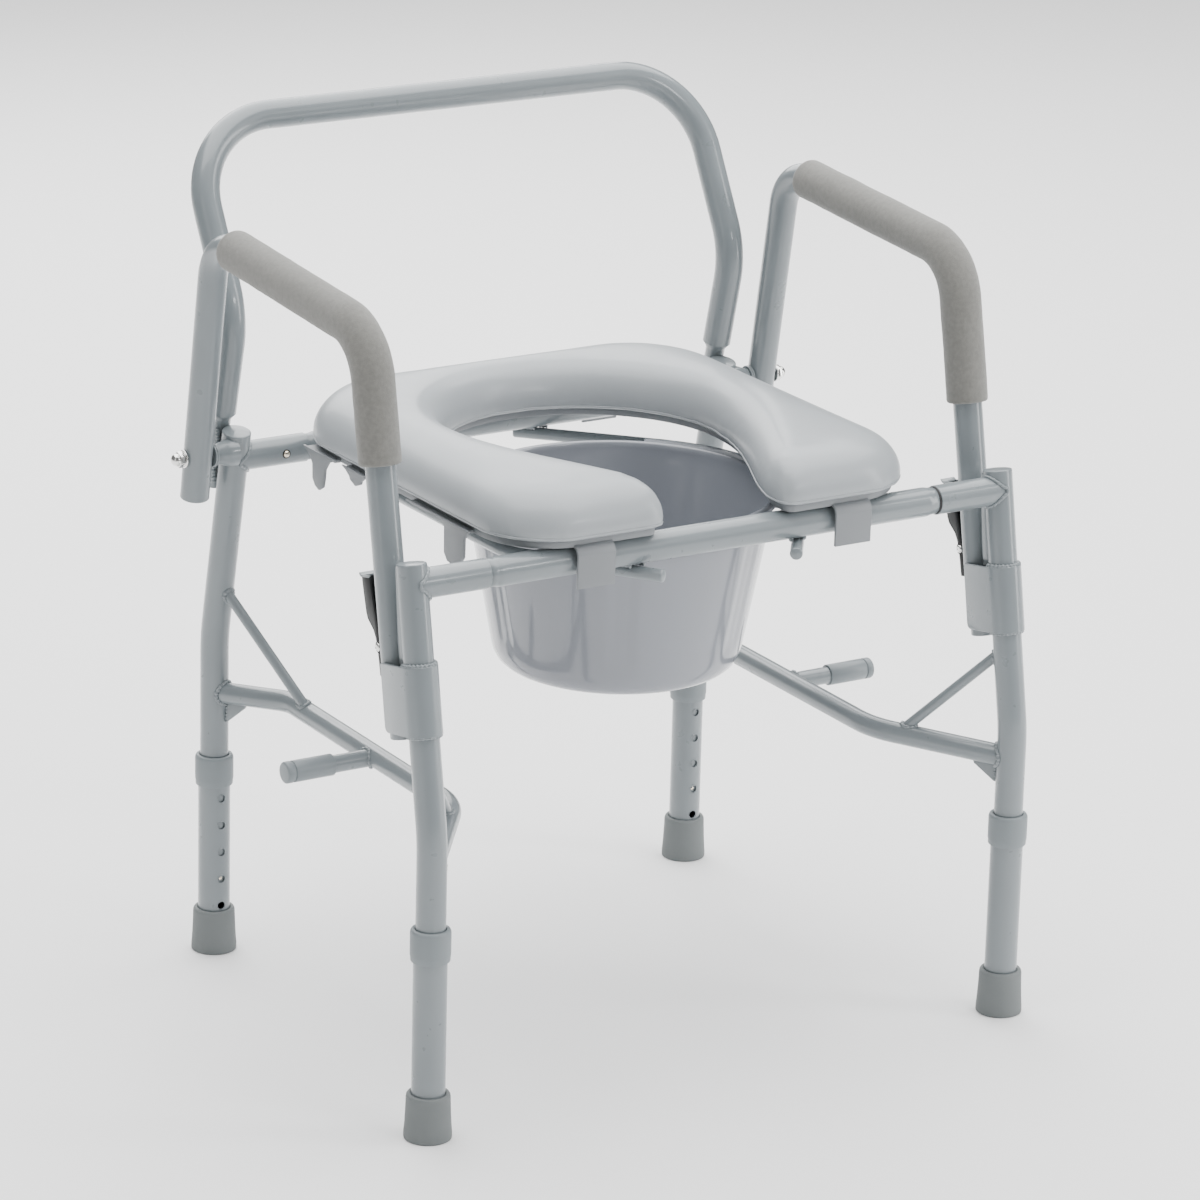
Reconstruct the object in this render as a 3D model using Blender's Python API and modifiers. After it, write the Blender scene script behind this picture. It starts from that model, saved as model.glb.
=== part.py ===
"""Drop-arm commode chair, built as an assembly of separate parts.

Lengths below are millimetres in the working frame: X to the chair's left and right, Y from
front to back, Z up from the floor. point() turns them into metres about the middle of the base.
"""
import math

import bmesh
import bpy
from mathutils import Matrix, Vector

# ---------------------------------------------------------------- driving dimensions
MM = 0.001
GAP = 0.3                      # clearance left between touching pieces

TUBE_R = 12.7                  # main frame tube, 25.4 outside diameter
TUBE_WALL = 1.5
SIDES = 12                     # facets round a main tube
SMALL_SIDES = 8
TURNED_SIDES = 16

FRONT_X = 290.0                # front legs and arms
REAR_X = 250.0                 # rear legs
FRONT_Y = 2.0
REAR_Y = 458.5
FRONT_BEND_Z = 262.0
REAR_BEND_Z = 296.0
FRONT_TOP_Z = 488.0
REAR_TOP_Z = 495.0
FRONT_LEAN = 0.18              # rearward travel per unit height above the bend
REAR_LEAN = -0.2035
LEG_BOTTOM_Z = 52.0

EXT_R = 14.3                   # height-adjusting lower leg, 28.6 outside diameter
EXT_BORE = 13.0
EXT_TOP_Z = 180.0
HOLE_PITCH = 25.4
HOLE_COUNT = 5
TOP_HOLE_Z = 146.8
BUTTON_HOLE_Z = TOP_HOLE_Z - 3 * HOLE_PITCH
HOLE_R = 3.9
BUTTON_R = 3.2
TIP_R = 20.3
TIP_HEIGHT = 40.0

RAIL_Z = 469.5
FRONT_RAIL_Y = FRONT_Y + FRONT_LEAN * (RAIL_Z - FRONT_BEND_Z)
REAR_RAIL_Y = REAR_Y + REAR_LEAN * (RAIL_Z - REAR_BEND_Z)
FRONT_JOINT_X = 222.5
REAR_JOINT_X = 181.0
SPIGOT_R = 10.4
SPIGOT_LENGTH = 40.0

PIVOT_Y = 414.0
PIVOT_Z = 477.5
ARM_REAR_CORNER = (381.7, 678.6)
ARM_FRONT_CORNER = (115.5, 660.7)
ARM_LEAN = 0.195               # rearward travel per unit height of the arm's front leg
ARM_LEG_BOTTOM_Z = 347.6
ARM_TAIL_Z = 438.6
ARM_REAR_BEND = 38.0
ARM_FRONT_BEND = 50.0
PAD_R = 18.0
PAD_REAR_Y = 349.0
PAD_LOW_Z = {"l": 556.0, "r": 535.0}
RIVET_Z = 408.0
RIVET_BACK = 16.4
SOCKET_BACK = 38.0

BACK_X = 255.0
BACK_JOINT = (436.7, 508.0)
BACK_KINK = (415.4, 597.0)
BACK_TOP = (501.0, 750.0)
BACK_CORNER_R = 78.0
BACK_KINK_R = 70.0
BACK_STUB_R = 8.8

PEG_Y = 236.5
PEG_Z = 246.5
PEG_R = 7.75
PEG_SLEEVE_R = 9.5

BRACE_R = 9.5
BRACE_IN_X = 212.0
BRACE_REAR_Z = 243.5
BRACE_REAR_BEND = (388.0, 249.5)
BRACE_FRONT_BEND = (103.0, 245.5)
BRACE_FRONT_Z = 236.5

SEAT_HALF = 207.0
SEAT_FRONT_Y = 18.0
SEAT_REAR_Y = 432.0
BOARD_Z = (482.6, 489.7)
CUSHION_Z = (490.0, 534.0)

BUCKET_Y = 190.0
ROD_R = 5.5
ROD_Z = 451.0

Y_MID = (FRONT_Y - TIP_R + BACK_TOP[0] + TUBE_R) / 2


def point(x, y, z):
    """Working millimetres to metres about the middle of the base."""
    return Vector((x * MM, (y - Y_MID) * MM, z * MM))


# ---------------------------------------------------------------- scene set-up
for old in list(bpy.data.objects):
    bpy.data.objects.remove(old, do_unlink=True)

PARTS = bpy.data.collections.new("commode_chair")
CUTTERS = bpy.data.collections.new("cutters")
bpy.context.scene.collection.children.link(PARTS)
bpy.context.scene.collection.children.link(CUTTERS)

FINISHES = {
    "frame_paint": ((0.49, 0.53, 0.55), 0.42, 0.0),
    "lever_paint": ((0.07, 0.075, 0.08), 0.5, 0.0),
    "seat_vinyl": ((0.58, 0.60, 0.61), 0.45, 0.0),
    "board_plastic": ((0.52, 0.54, 0.55), 0.5, 0.0),
    "arm_foam": ((0.37, 0.35, 0.32), 0.85, 0.0),
    "pail_plastic": ((0.40, 0.42, 0.46), 0.2, 0.0),
    "tip_rubber": ((0.27, 0.30, 0.29), 0.8, 0.0),
    "collar_plastic": ((0.47, 0.51, 0.53), 0.5, 0.0),
    "sleeve_plastic": ((0.43, 0.46, 0.48), 0.5, 0.0),
    "bolt_chrome": ((0.75, 0.75, 0.74), 0.15, 1.0),
    "button_brass": ((0.72, 0.62, 0.42), 0.25, 1.0),
}


def material_for(name, finish):
    """One Principled material per part, in the named finish."""
    colour, roughness, metallic = FINISHES[finish]
    material = bpy.data.materials.new(name + "_mat")
    material.use_nodes = True
    shader = material.node_tree.nodes["Principled BSDF"]
    shader.inputs["Base Color"].default_value = (*colour, 1.0)
    shader.inputs["Roughness"].default_value = roughness
    shader.inputs["Metallic"].default_value = metallic
    return material


# ---------------------------------------------------------------- mesh helpers
def scratch(mesh):
    """A hidden working object in the cutters collection."""
    obj = bpy.data.objects.new("work", mesh)
    CUTTERS.objects.link(obj)
    obj.hide_render = True
    obj.display_type = "WIRE"
    return obj


def evaluated(obj):
    """The object's mesh with its modifiers, in world coordinates; the object is removed."""
    bpy.context.view_layer.update()
    graph = bpy.context.evaluated_depsgraph_get()
    mesh = bpy.data.meshes.new_from_object(obj.evaluated_get(graph))
    mesh.transform(obj.matrix_world)
    bpy.data.objects.remove(obj, do_unlink=True)
    return mesh


def tidy(mesh):
    """Weld coincident corners and turn faces outward."""
    bm = bmesh.new()
    bm.from_mesh(mesh)
    bmesh.ops.remove_doubles(bm, verts=bm.verts, dist=0.00002)
    bmesh.ops.recalc_face_normals(bm, faces=bm.faces)
    bm.to_mesh(mesh)
    bm.free()
    return mesh


def combine(mesh, other, operation):
    """Boolean of two meshes, exact solver."""
    base = scratch(mesh)
    tool = scratch(other)
    step = base.modifiers.new("combine", "BOOLEAN")
    step.operation = operation
    step.solver = "EXACT"
    step.object = tool
    result = evaluated(base)
    bpy.data.objects.remove(tool, do_unlink=True)
    return tidy(result)


def cut(mesh, *tools):
    for tool in tools:
        mesh = combine(mesh, tool, "DIFFERENCE")
    return mesh


def join(mesh, *tools):
    for tool in tools:
        mesh = combine(mesh, tool, "UNION")
    return mesh


def rounded_path(corners, radii, steps=5):
    """Working-frame points along a line with its inner corners rounded."""
    path = [Vector(corners[0])]
    for i in range(1, len(corners) - 1):
        here = Vector(corners[i])
        back = (Vector(corners[i - 1]) - here).normalized()
        ahead = (Vector(corners[i + 1]) - here).normalized()
        half = back.angle(ahead) / 2
        reach = radii[i - 1] / math.tan(half)
        centre = here + (back + ahead).normalized() * radii[i - 1] / math.sin(half)
        start = here + back * reach - centre
        end = here + ahead * reach - centre
        turn = start.angle(end)
        for k in range(steps + 1):
            t = k / steps
            arm = (start * math.sin((1 - t) * turn) + end * math.sin(t * turn)) / math.sin(turn)
            path.append(centre + arm)
    path.append(Vector(corners[-1]))
    return path


def swept(path, radius, sides, caps=True):
    """A round bar along a working-frame path."""
    curve = bpy.data.curves.new("sweep", "CURVE")
    curve.dimensions = "3D"
    curve.bevel_depth = radius * MM
    curve.bevel_resolution = sides // 2 - 2
    curve.use_fill_caps = caps
    spline = curve.splines.new("POLY")
    spline.points.add(len(path) - 1)
    for slot, place in zip(spline.points, path):
        slot.co = (*point(*place), 1.0)
    obj = bpy.data.objects.new("sweep", curve)
    CUTTERS.objects.link(obj)
    return tidy(evaluated(obj))


def pipe(path, radius, wall, sides, cap_start=False, cap_end=False):
    """A hollow tube along a working-frame path, open except where capped."""
    mesh = swept(path, radius, sides, caps=False)
    bm = bmesh.new()
    bm.from_mesh(mesh)
    for wanted, place in ((cap_start, path[0]), (cap_end, path[-1])):
        if wanted:
            centre = point(*place)
            reach = 1.2 * radius * MM
            rim = [e for e in bm.edges if e.is_boundary and (e.verts[0].co - centre).length < reach]
            bmesh.ops.holes_fill(bm, edges=rim, sides=0)
    bmesh.ops.recalc_face_normals(bm, faces=bm.faces)
    bm.to_mesh(mesh)
    bm.free()
    obj = scratch(mesh)
    shell = obj.modifiers.new("wall", "SOLIDIFY")
    shell.thickness = wall * MM
    shell.offset = -1.0
    shell.use_even_offset = True
    return tidy(evaluated(obj))


def bar(start, end, radius, sides):
    """A straight round bar between two working-frame points."""
    return swept([Vector(start), Vector(end)], radius, sides)


def turned(profile, sides, base=(0, 0, 0), axis=(0, 0, 1)):
    """A closed (radius, height) profile turned about an axis through base."""
    bm = bmesh.new()
    ring = [bm.verts.new((r * MM, 0, h * MM)) for r, h in profile]
    edges = [bm.edges.new((ring[i], ring[(i + 1) % len(ring)])) for i in range(len(ring))]
    bmesh.ops.spin(bm, geom=ring + edges, cent=(0, 0, 0), axis=(0, 0, 1), angle=2 * math.pi,
                   steps=sides, use_merge=True)
    bmesh.ops.remove_doubles(bm, verts=bm.verts, dist=0.00002)
    bmesh.ops.dissolve_degenerate(bm, dist=0.00001, edges=bm.edges)
    loose = [e for e in bm.edges if not e.link_faces]
    bmesh.ops.delete(bm, geom=loose, context="EDGES")
    bmesh.ops.recalc_face_normals(bm, faces=bm.faces)
    turn = Vector((0, 0, 1)).rotation_difference(Vector(axis)).to_matrix().to_4x4()
    bm.transform(Matrix.Translation(point(*base)) @ turn)
    mesh = bpy.data.meshes.new("turned")
    bm.to_mesh(mesh)
    bm.free()
    return mesh


def plate(outline, frame, low, high):
    """A flat outline pushed from low to high along the third axis of a frame.

    frame is (base, first, second, third): a working point and three directions.
    """
    base, first, second, third = [Vector(v) for v in frame]
    bm = bmesh.new()
    verts = []
    for a, b in outline:
        place = base + first * a + second * b + third * low
        verts.append(bm.verts.new(point(*place)))
    face = bm.faces.new(verts)
    grown = bmesh.ops.extrude_face_region(bm, geom=[face])
    fresh = [v for v in grown["geom"] if isinstance(v, bmesh.types.BMVert)]
    bmesh.ops.translate(bm, verts=fresh, vec=third * (high - low) * MM)
    bmesh.ops.recalc_face_normals(bm, faces=bm.faces)
    mesh = bpy.data.meshes.new("plate")
    bm.to_mesh(mesh)
    bm.free()
    return mesh


FLAT = ((0, 0, 0), (1, 0, 0), (0, 1, 0), (0, 0, 1))


def block(x0, x1, y0, y1, z0, z1):
    return plate([(x0, y0), (x1, y0), (x1, y1), (x0, y1)], FLAT, z0, z1)


def part(name, mesh, finish, origin):
    """A finished sub-part with its origin at a working-frame point."""
    home = point(*origin)
    mesh.transform(Matrix.Translation(-home))
    mesh.materials.clear()
    mesh.materials.append(material_for(name, finish))
    mesh.name = name
    obj = bpy.data.objects.new(name, mesh)
    obj.location = home
    PARTS.objects.link(obj)
    return obj


# ---------------------------------------------------------------- shared paths
def front_leg_y(z):
    return FRONT_Y + FRONT_LEAN * max(0.0, z - FRONT_BEND_Z)


def rear_leg_y(z):
    return REAR_Y + REAR_LEAN * max(0.0, z - REAR_BEND_Z)


def front_leg_path(side):
    x = side * FRONT_X
    corners = [
        (x, FRONT_Y, LEG_BOTTOM_Z),
        (x, FRONT_Y, FRONT_BEND_Z),
        (x, front_leg_y(FRONT_TOP_Z), FRONT_TOP_Z),
    ]
    return rounded_path(corners, [160.0], 2)


def rear_leg_path(side):
    x = side * REAR_X
    corners = [
        (x, REAR_Y, LEG_BOTTOM_Z),
        (x, REAR_Y, REAR_BEND_Z),
        (x, rear_leg_y(REAR_TOP_Z), REAR_TOP_Z),
    ]
    return rounded_path(corners, [160.0], 2)


def arm_leg_y(z):
    return ARM_FRONT_CORNER[0] + ARM_LEAN * (z - ARM_FRONT_CORNER[1])


def arm_path(side):
    """The arm tube from its tail below the pivot to the end of its front leg."""
    x = side * FRONT_X
    slope = (PIVOT_Y - ARM_REAR_CORNER[0]) / (PIVOT_Z - ARM_REAR_CORNER[1])
    corners = [
        (x, PIVOT_Y + slope * (ARM_TAIL_Z - PIVOT_Z), ARM_TAIL_Z),
        (x, *ARM_REAR_CORNER),
        (x, *ARM_FRONT_CORNER),
        (x, arm_leg_y(ARM_LEG_BOTTOM_Z), ARM_LEG_BOTTOM_Z),
    ]
    return rounded_path(corners, [ARM_REAR_BEND, ARM_FRONT_BEND], 4)


def lean_frame(side, y, z, lean):
    """Axes of a leaning tube: X, square to the tube rearward, up the tube."""
    up = Vector((0, lean, 1)).normalized()
    back = Vector((0, 1, -lean)).normalized()
    return ((side * FRONT_X, y, z), (1, 0, 0), back, up)


BACK_SLOPE = (BACK_KINK[0] - BACK_JOINT[0]) / (BACK_KINK[1] - BACK_JOINT[1])
BACK_AXIS = Vector((0, BACK_SLOPE, 1)).normalized()


def back_line_y(z):
    return BACK_JOINT[0] + BACK_SLOPE * (z - BACK_JOINT[1])


# ---------------------------------------------------------------- legs, feet and buttons
def leg_button_hole(x, y, facing, z, radius):
    return bar((x, y, z), (x, y + facing * 20.0, z), radius, SMALL_SIDES)


def build_leg(name, path, x, y, facing, extra_cutters):
    mesh = pipe(path, TUBE_R, TUBE_WALL, SIDES, cap_end=True)
    mesh = cut(mesh, leg_button_hole(x, y, facing, BUTTON_HOLE_Z, BUTTON_R + GAP), *extra_cutters)
    part(name, mesh, "frame_paint", (x, y, LEG_BOTTOM_Z))


def build_foot(tag, x, y, facing):
    """The sliding lower leg, its top collar, its rubber tip and the snap button."""
    wall = [(EXT_BORE, 3.3), (EXT_R, 3.3), (EXT_R, EXT_TOP_Z), (EXT_BORE, EXT_TOP_Z)]
    mesh = turned(wall, TURNED_SIDES, (x, y, 0))
    for k in range(HOLE_COUNT):
        z = TOP_HOLE_Z - k * HOLE_PITCH
        mesh = cut(mesh, leg_button_hole(x, y, facing, z, HOLE_R))
    part("leg_extension_" + tag, mesh, "frame_paint", (x, y, 0))
    collar = [
        (EXT_R + GAP, 157.5), (16.4, 157.5), (16.4, 162.0), (17.1, 163.5), (17.1, 183.0), (15.6, 185.5),
        (13.0, 185.5), (13.0, EXT_TOP_Z + GAP), (EXT_R + GAP, EXT_TOP_Z + GAP),
    ]
    part("leg_collar_" + tag, turned(collar, TURNED_SIDES, (x, y, 0)), "collar_plastic", (x, y, 0))
    tip = [
        (0, 0), (TIP_R - 1.0, 0), (TIP_R, 1.5), (TIP_R - 0.4, 9.0), (18.6, TIP_HEIGHT - 2.0),
        (17.4, TIP_HEIGHT), (EXT_R + GAP, TIP_HEIGHT), (EXT_R + GAP, 3.0), (0, 3.0),
    ]
    part("leg_tip_" + tag, turned(tip, TURNED_SIDES, (x, y, 0)), "tip_rubber", (x, y, 0))
    knob = [(0, 4.5), (BUTTON_R, 4.5), (BUTTON_R, 10.9), (2.2, 12.2), (0, 12.6)]
    mesh = turned(knob, SMALL_SIDES, (x, y, BUTTON_HOLE_Z), (0, facing, 0))
    part("leg_button_" + tag, mesh, "button_brass", (x, y + facing * 8.0, BUTTON_HOLE_Z))


# ---------------------------------------------------------------- cross rails
def build_rail(name, y, joint_x):
    """A cross rail with reduced ends that plug into the leg stubs."""
    reach = joint_x + SPIGOT_LENGTH
    neck = joint_x - GAP
    profile = [
        (TUBE_R, -neck + 1.5), (TUBE_R, neck - 1.5), (SPIGOT_R, neck), (SPIGOT_R, reach),
        (SPIGOT_R - TUBE_WALL, reach), (SPIGOT_R - TUBE_WALL, -reach), (SPIGOT_R, -reach),
        (SPIGOT_R, -neck),
    ]
    mesh = turned(profile, SIDES, (0, y, RAIL_Z), (1, 0, 0))
    facing = 1 if name == "front_rail" else -1
    for side in (-1, 1):
        x = side * (joint_x + 24.0)
        mesh = cut(mesh, bar((x, y, RAIL_Z), (x, y + facing * 20.0, RAIL_Z), BUTTON_R + GAP, SMALL_SIDES))
    part(name, mesh, "frame_paint", (0, y, RAIL_Z))


def build_stub(name, side, leg_x, y, joint_x, facing, leg_cutter):
    """The socket welded to a leg that takes one end of a cross rail, and its snap button."""
    path = [Vector((side * joint_x, y, RAIL_Z)), Vector((side * (leg_x - 2.0), y, RAIL_Z))]
    mesh = cut(pipe(path, TUBE_R, TUBE_R - SPIGOT_R - 2 * GAP, SIDES), leg_cutter)
    x = side * (joint_x + 24.0)
    mesh = cut(mesh, bar((x, y, RAIL_Z), (x, y + facing * 20.0, RAIL_Z), BUTTON_R + GAP, SMALL_SIDES))
    part(name, mesh, "frame_paint", (side * joint_x, y, RAIL_Z))
    knob = [(0, 4.0), (BUTTON_R, 4.0), (BUTTON_R, 12.6), (2.4, 13.9), (0, 14.4)]
    mesh = turned(knob, SMALL_SIDES, (x, y, RAIL_Z), (0, facing, 0))
    part(name.replace("stub", "button"), mesh, "button_brass", (x, y + facing * 8.0, RAIL_Z))


# ---------------------------------------------------------------- one side of the chair
def build_side(tag, side):
    front_x = side * FRONT_X
    rear_x = side * REAR_X
    front_wide = swept(front_leg_path(side), TUBE_R + GAP, SIDES)
    rear_wide = swept(rear_leg_path(side), TUBE_R + GAP, SIDES)

    build_leg("front_leg_" + tag, front_leg_path(side), front_x, FRONT_Y, 1, [])
    hole_start = (side * (REAR_X + 20.0), PIVOT_Y, PIVOT_Z)
    bolt_hole = bar(hole_start, (rear_x, PIVOT_Y, PIVOT_Z), 3.7, SMALL_SIDES)
    build_leg("rear_leg_" + tag, rear_leg_path(side), rear_x, REAR_Y, -1, [bolt_hole])
    build_foot("front_" + tag, front_x, FRONT_Y, 1)
    build_foot("rear_" + tag, rear_x, REAR_Y, -1)

    build_stub("front_stub_" + tag, side, FRONT_X, FRONT_RAIL_Y, FRONT_JOINT_X, 1, front_wide.copy())
    build_stub("rear_stub_" + tag, side, REAR_X, REAR_RAIL_Y, REAR_JOINT_X, -1, rear_wide.copy())
    build_brace(tag, side, front_wide, rear_wide)
    build_peg(tag, side)
    build_latch_seat(tag, side)
    build_back_stub(tag, side)
    build_arm(tag, side)
    build_pivot(tag, side)


def build_brace(tag, side, front_wide, rear_wide):
    """The bowed side brace with its two struts and the plates under its ends."""
    rear = (side * REAR_X, REAR_Y, BRACE_REAR_Z)
    rear_bend = (side * BRACE_IN_X, *BRACE_REAR_BEND)
    front_bend = (side * BRACE_IN_X, *BRACE_FRONT_BEND)
    front = (side * FRONT_X, FRONT_Y, BRACE_FRONT_Z)
    path = rounded_path([rear, rear_bend, front_bend, front], [45.0, 60.0], 3)
    mesh = pipe(path, BRACE_R, 1.5, SMALL_SIDES)
    rear_strut = bar((side * REAR_X, 445.5, 347.0), (side * BRACE_IN_X, 350.0, 251.5), 4.2, 8)
    front_strut = bar((side * FRONT_X, 20.0, 326.0), (side * 226.0, 84.0, 246.0), 5.0, 8)
    mesh = join(mesh, rear_strut, front_strut)
    for leg_end, bend, deep in ((rear, rear_bend, -25.0), (front, front_bend, -23.0)):
        along = Vector(bend) - Vector(leg_end)
        along.z = 0
        along.normalize()
        across = Vector((0, 0, 1)).cross(along)
        frame = (leg_end, along, (0, 0, 1), across)
        gusset = [(9.0, -6.0), (33.0, -7.5), (12.0, deep), (9.0, deep)]
        mesh = join(mesh, plate(gusset, frame, -1.5, 1.5))
    mesh = cut(mesh, front_wide, rear_wide)
    part("side_brace_" + tag, mesh, "frame_paint", rear_bend)


def build_peg(tag, side):
    """The outward peg the lowered arm rests on, with its plastic sleeve."""
    start = Vector((side * (BRACE_IN_X + 1.0), PEG_Y, PEG_Z))
    end = Vector((side * 296.5, PEG_Y, PEG_Z))
    mesh = pipe([start, end], PEG_R, 1.6, SIDES)
    brace_x = side * BRACE_IN_X
    ends = (brace_x, *BRACE_REAR_BEND), (brace_x, *BRACE_FRONT_BEND)
    brace_wide = bar(*ends, BRACE_R + GAP, SMALL_SIDES)
    mesh = cut(mesh, brace_wide)
    part("stop_peg_" + tag, mesh, "frame_paint", start)
    profile = [
        (PEG_R + GAP, 254.0), (PEG_SLEEVE_R, 254.0), (PEG_SLEEVE_R, 298.5), (PEG_SLEEVE_R - 1.5, 300.0),
        (0, 300.0), (0, 297.0), (PEG_R + GAP, 297.0),
    ]
    mesh = turned(profile, SIDES, (0, PEG_Y, PEG_Z), (side, 0, 0))
    part("peg_sleeve_" + tag, mesh, "sleeve_plastic", (side * 254.0, PEG_Y, PEG_Z))


def pad_sweep(tag, side):
    """A ring about the pivot that holds the space the padded front corner of the arm swings through."""
    path = arm_path(side)
    pivot = Vector((side * FRONT_X, PIVOT_Y, PIVOT_Z))
    reach = max((spot - pivot).length for spot in path if spot.z > PAD_LOW_Z[tag])
    clear = PAD_R + 1.0
    profile = [(reach - 60.0, -clear), (reach - 60.0, clear)]
    for k in range(9):
        angle = math.pi * (k / 8 - 0.5)
        profile.insert(1, (reach + clear * math.cos(angle), clear * math.sin(angle)))
    return turned(profile, 120, pivot, (1, 0, 0))


def build_latch_seat(tag, side):
    """The strip and the open-backed socket on the front leg that receive the arm's front leg."""
    low = 406.0
    length = 68.0
    strip = [
        (-7.0, 13.0), (7.0, 13.0), (7.0, 20.0), (5.0, 20.0),
        (5.0, 15.0), (-5.0, 15.0), (-5.0, 20.0), (-7.0, 20.0),
    ]
    frame = lean_frame(side, front_leg_y(low), low, FRONT_LEAN)
    mesh = cut(plate(strip, frame, 0.0, length), pad_sweep(tag, side))
    part("arm_cradle_" + tag, mesh, "frame_paint", (side * FRONT_X, front_leg_y(low), low))

    inner = TUBE_R + 0.5
    outer = inner + 2.5
    steps = 8
    wrap = []
    for k in range(steps + 1):
        angle = math.pi * k / steps
        wrap.append((outer * math.cos(angle), -outer * math.sin(angle)))
    wrap += [(-outer, SOCKET_BACK), (-inner, SOCKET_BACK)]
    for k in range(steps + 1):
        angle = math.pi * (1 - k / steps)
        wrap.append((inner * math.cos(angle), -inner * math.sin(angle)))
    wrap += [(inner, SOCKET_BACK), (outer, SOCKET_BACK)]
    low = 348.0
    length = 57.9
    frame = lean_frame(side, front_leg_y(low), low, FRONT_LEAN)
    socket = plate(wrap, frame, 0.0, length)
    base, across, back, up = [Vector(v) for v in frame]
    nick = [(SOCKET_BACK - 5.0, -1.0), (SOCKET_BACK + 1.0, -1.0), (SOCKET_BACK + 1.0, 5.0)]
    socket = cut(socket, plate(nick, (base, back, up, across), -30.0, 30.0))
    part("arm_socket_" + tag, cut(socket, pad_sweep(tag, side)), "frame_paint", base)


def build_back_stub(tag, side):
    """The post behind the rear leg that the back bar drops over."""
    low = 438.0
    base = (side * BACK_X, back_line_y(low), low)
    step = (502.0 - low) / BACK_AXIS.z
    height = (552.0 - low) / BACK_AXIS.z
    profile = [
        (BACK_STUB_R, 0), (BACK_STUB_R, step), (TUBE_R - TUBE_WALL - 2 * GAP, step + 2.0),
        (TUBE_R - TUBE_WALL - 2 * GAP, height), (BACK_STUB_R - 1.5, height), (BACK_STUB_R - 1.5, 0),
    ]
    mesh = turned(profile, SIDES, base, BACK_AXIS)
    part("back_post_" + tag, mesh, "frame_paint", base)


def build_arm(tag, side):
    """The swinging arm tube, its foam pad and its release lever."""
    x = side * FRONT_X
    path = arm_path(side)
    mesh = pipe(path, TUBE_R, TUBE_WALL, SIDES, cap_start=True)
    bolt_hole = bar((x - 20.0, PIVOT_Y, PIVOT_Z), (x + 20.0, PIVOT_Y, PIVOT_Z), 3.45, TURNED_SIDES)

    frame = lean_frame(side, arm_leg_y(RIVET_Z), RIVET_Z, ARM_LEAN)
    base, across, back, up = [Vector(v) for v in frame]
    foot = (x, arm_leg_y(ARM_LEG_BOTTOM_Z), ARM_LEG_BOTTOM_Z)
    ferrule = [(8.6, -13.0), (10.4, -13.0), (10.4, 0.0), (11.9, 1.0), (11.9, 8.0), (8.6, 8.0)]
    ferrule = turned(ferrule, SIDES, foot, up)
    pivot = base + back * RIVET_BACK
    frame = (base, back, up, across)
    ear = [(11.6, -6.0), (18.6, -4.4), (20.4, 0.0), (18.6, 4.4), (11.6, 6.0)]
    lug = plate(ear, frame, -3.9, 3.9)
    pin_hole = bar(pivot - across * 8.0, pivot + across * 8.0, 2.6, SMALL_SIDES)
    mesh = cut(join(mesh, ferrule, lug), bolt_hole, pin_hole)
    part("arm_tube_" + tag, mesh, "frame_paint", (x, PIVOT_Y, PIVOT_Z))

    start = (x, PAD_REAR_Y, ARM_REAR_CORNER[1] - 2.19)
    low = PAD_LOW_Z[tag]
    corners = [start, (x, *ARM_FRONT_CORNER), (x, arm_leg_y(low), low)]
    mesh = pipe(rounded_path(corners, [ARM_FRONT_BEND], 4), PAD_R, PAD_R - TUBE_R - 3 * GAP, SIDES)
    part("arm_pad_" + tag, mesh, "arm_foam", (x, *ARM_FRONT_CORNER))

    outline = [
        (12.9, -26.0), (22.4, -26.0), (23.4, 2.0), (29.6, 8.0), (35.4, 17.0), (36.0, 40.0), (35.6, 55.0),
        (21.9, 55.0), (13.4, 6.0),
    ]
    hollow = [
        (8.0, -30.0), (20.7, -30.0), (21.6, 2.8), (27.8, 9.0), (33.4, 17.8), (34.0, 60.0), (8.0, 60.0),
    ]
    lever = cut(plate(outline, frame, -6.6, 6.6), plate(hollow, frame, -4.5, 4.5))
    lever = cut(lever, bar(pivot - across * 12.0, pivot + across * 12.0, 2.35, TURNED_SIDES))
    part("latch_lever_" + tag, lever, "lever_paint", pivot)
    pin = [(0, -8.4), (3.6, -8.4), (3.6, -6.9), (2.2, -6.9), (2.2, 6.9), (3.6, 6.9), (3.6, 8.4), (0, 8.4)]
    part("latch_rivet_" + tag, turned(pin, TURNED_SIDES, pivot, across), "bolt_chrome", pivot)


def build_pivot(tag, side):
    """The bolt, dome nut and spacer the arm swings on."""
    nut_face = FRONT_X + TUBE_R + GAP
    profile = [
        (0, REAR_X + 2.0), (3.2, REAR_X + 2.0), (3.2, nut_face), (7.0, nut_face), (7.0, nut_face + 6.0),
        (5.2, nut_face + 7.0), (4.2, nut_face + 10.0), (2.2, nut_face + 12.0), (0, nut_face + 12.5),
    ]
    mesh = turned(profile, TURNED_SIDES, (0, PIVOT_Y, PIVOT_Z), (side, 0, 0))
    part("pivot_bolt_" + tag, mesh, "bolt_chrome", (side * FRONT_X, PIVOT_Y, PIVOT_Z))
    inner = REAR_X + 6.5
    outer = FRONT_X - TUBE_R - GAP
    profile = [
        (3.5, inner), (11.6, inner), (11.6, REAR_X + TUBE_R), (8.6, outer - 4.0), (10.4, outer - 3.4),
        (10.4, outer), (3.5, outer),
    ]
    mesh = turned(profile, TURNED_SIDES, (0, PIVOT_Y, PIVOT_Z), (side, 0, 0))
    mesh = cut(mesh, swept(rear_leg_path(side), TUBE_R + GAP, SIDES))
    part("pivot_spacer_" + tag, mesh, "frame_paint", (side * outer, PIVOT_Y, PIVOT_Z))


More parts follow.
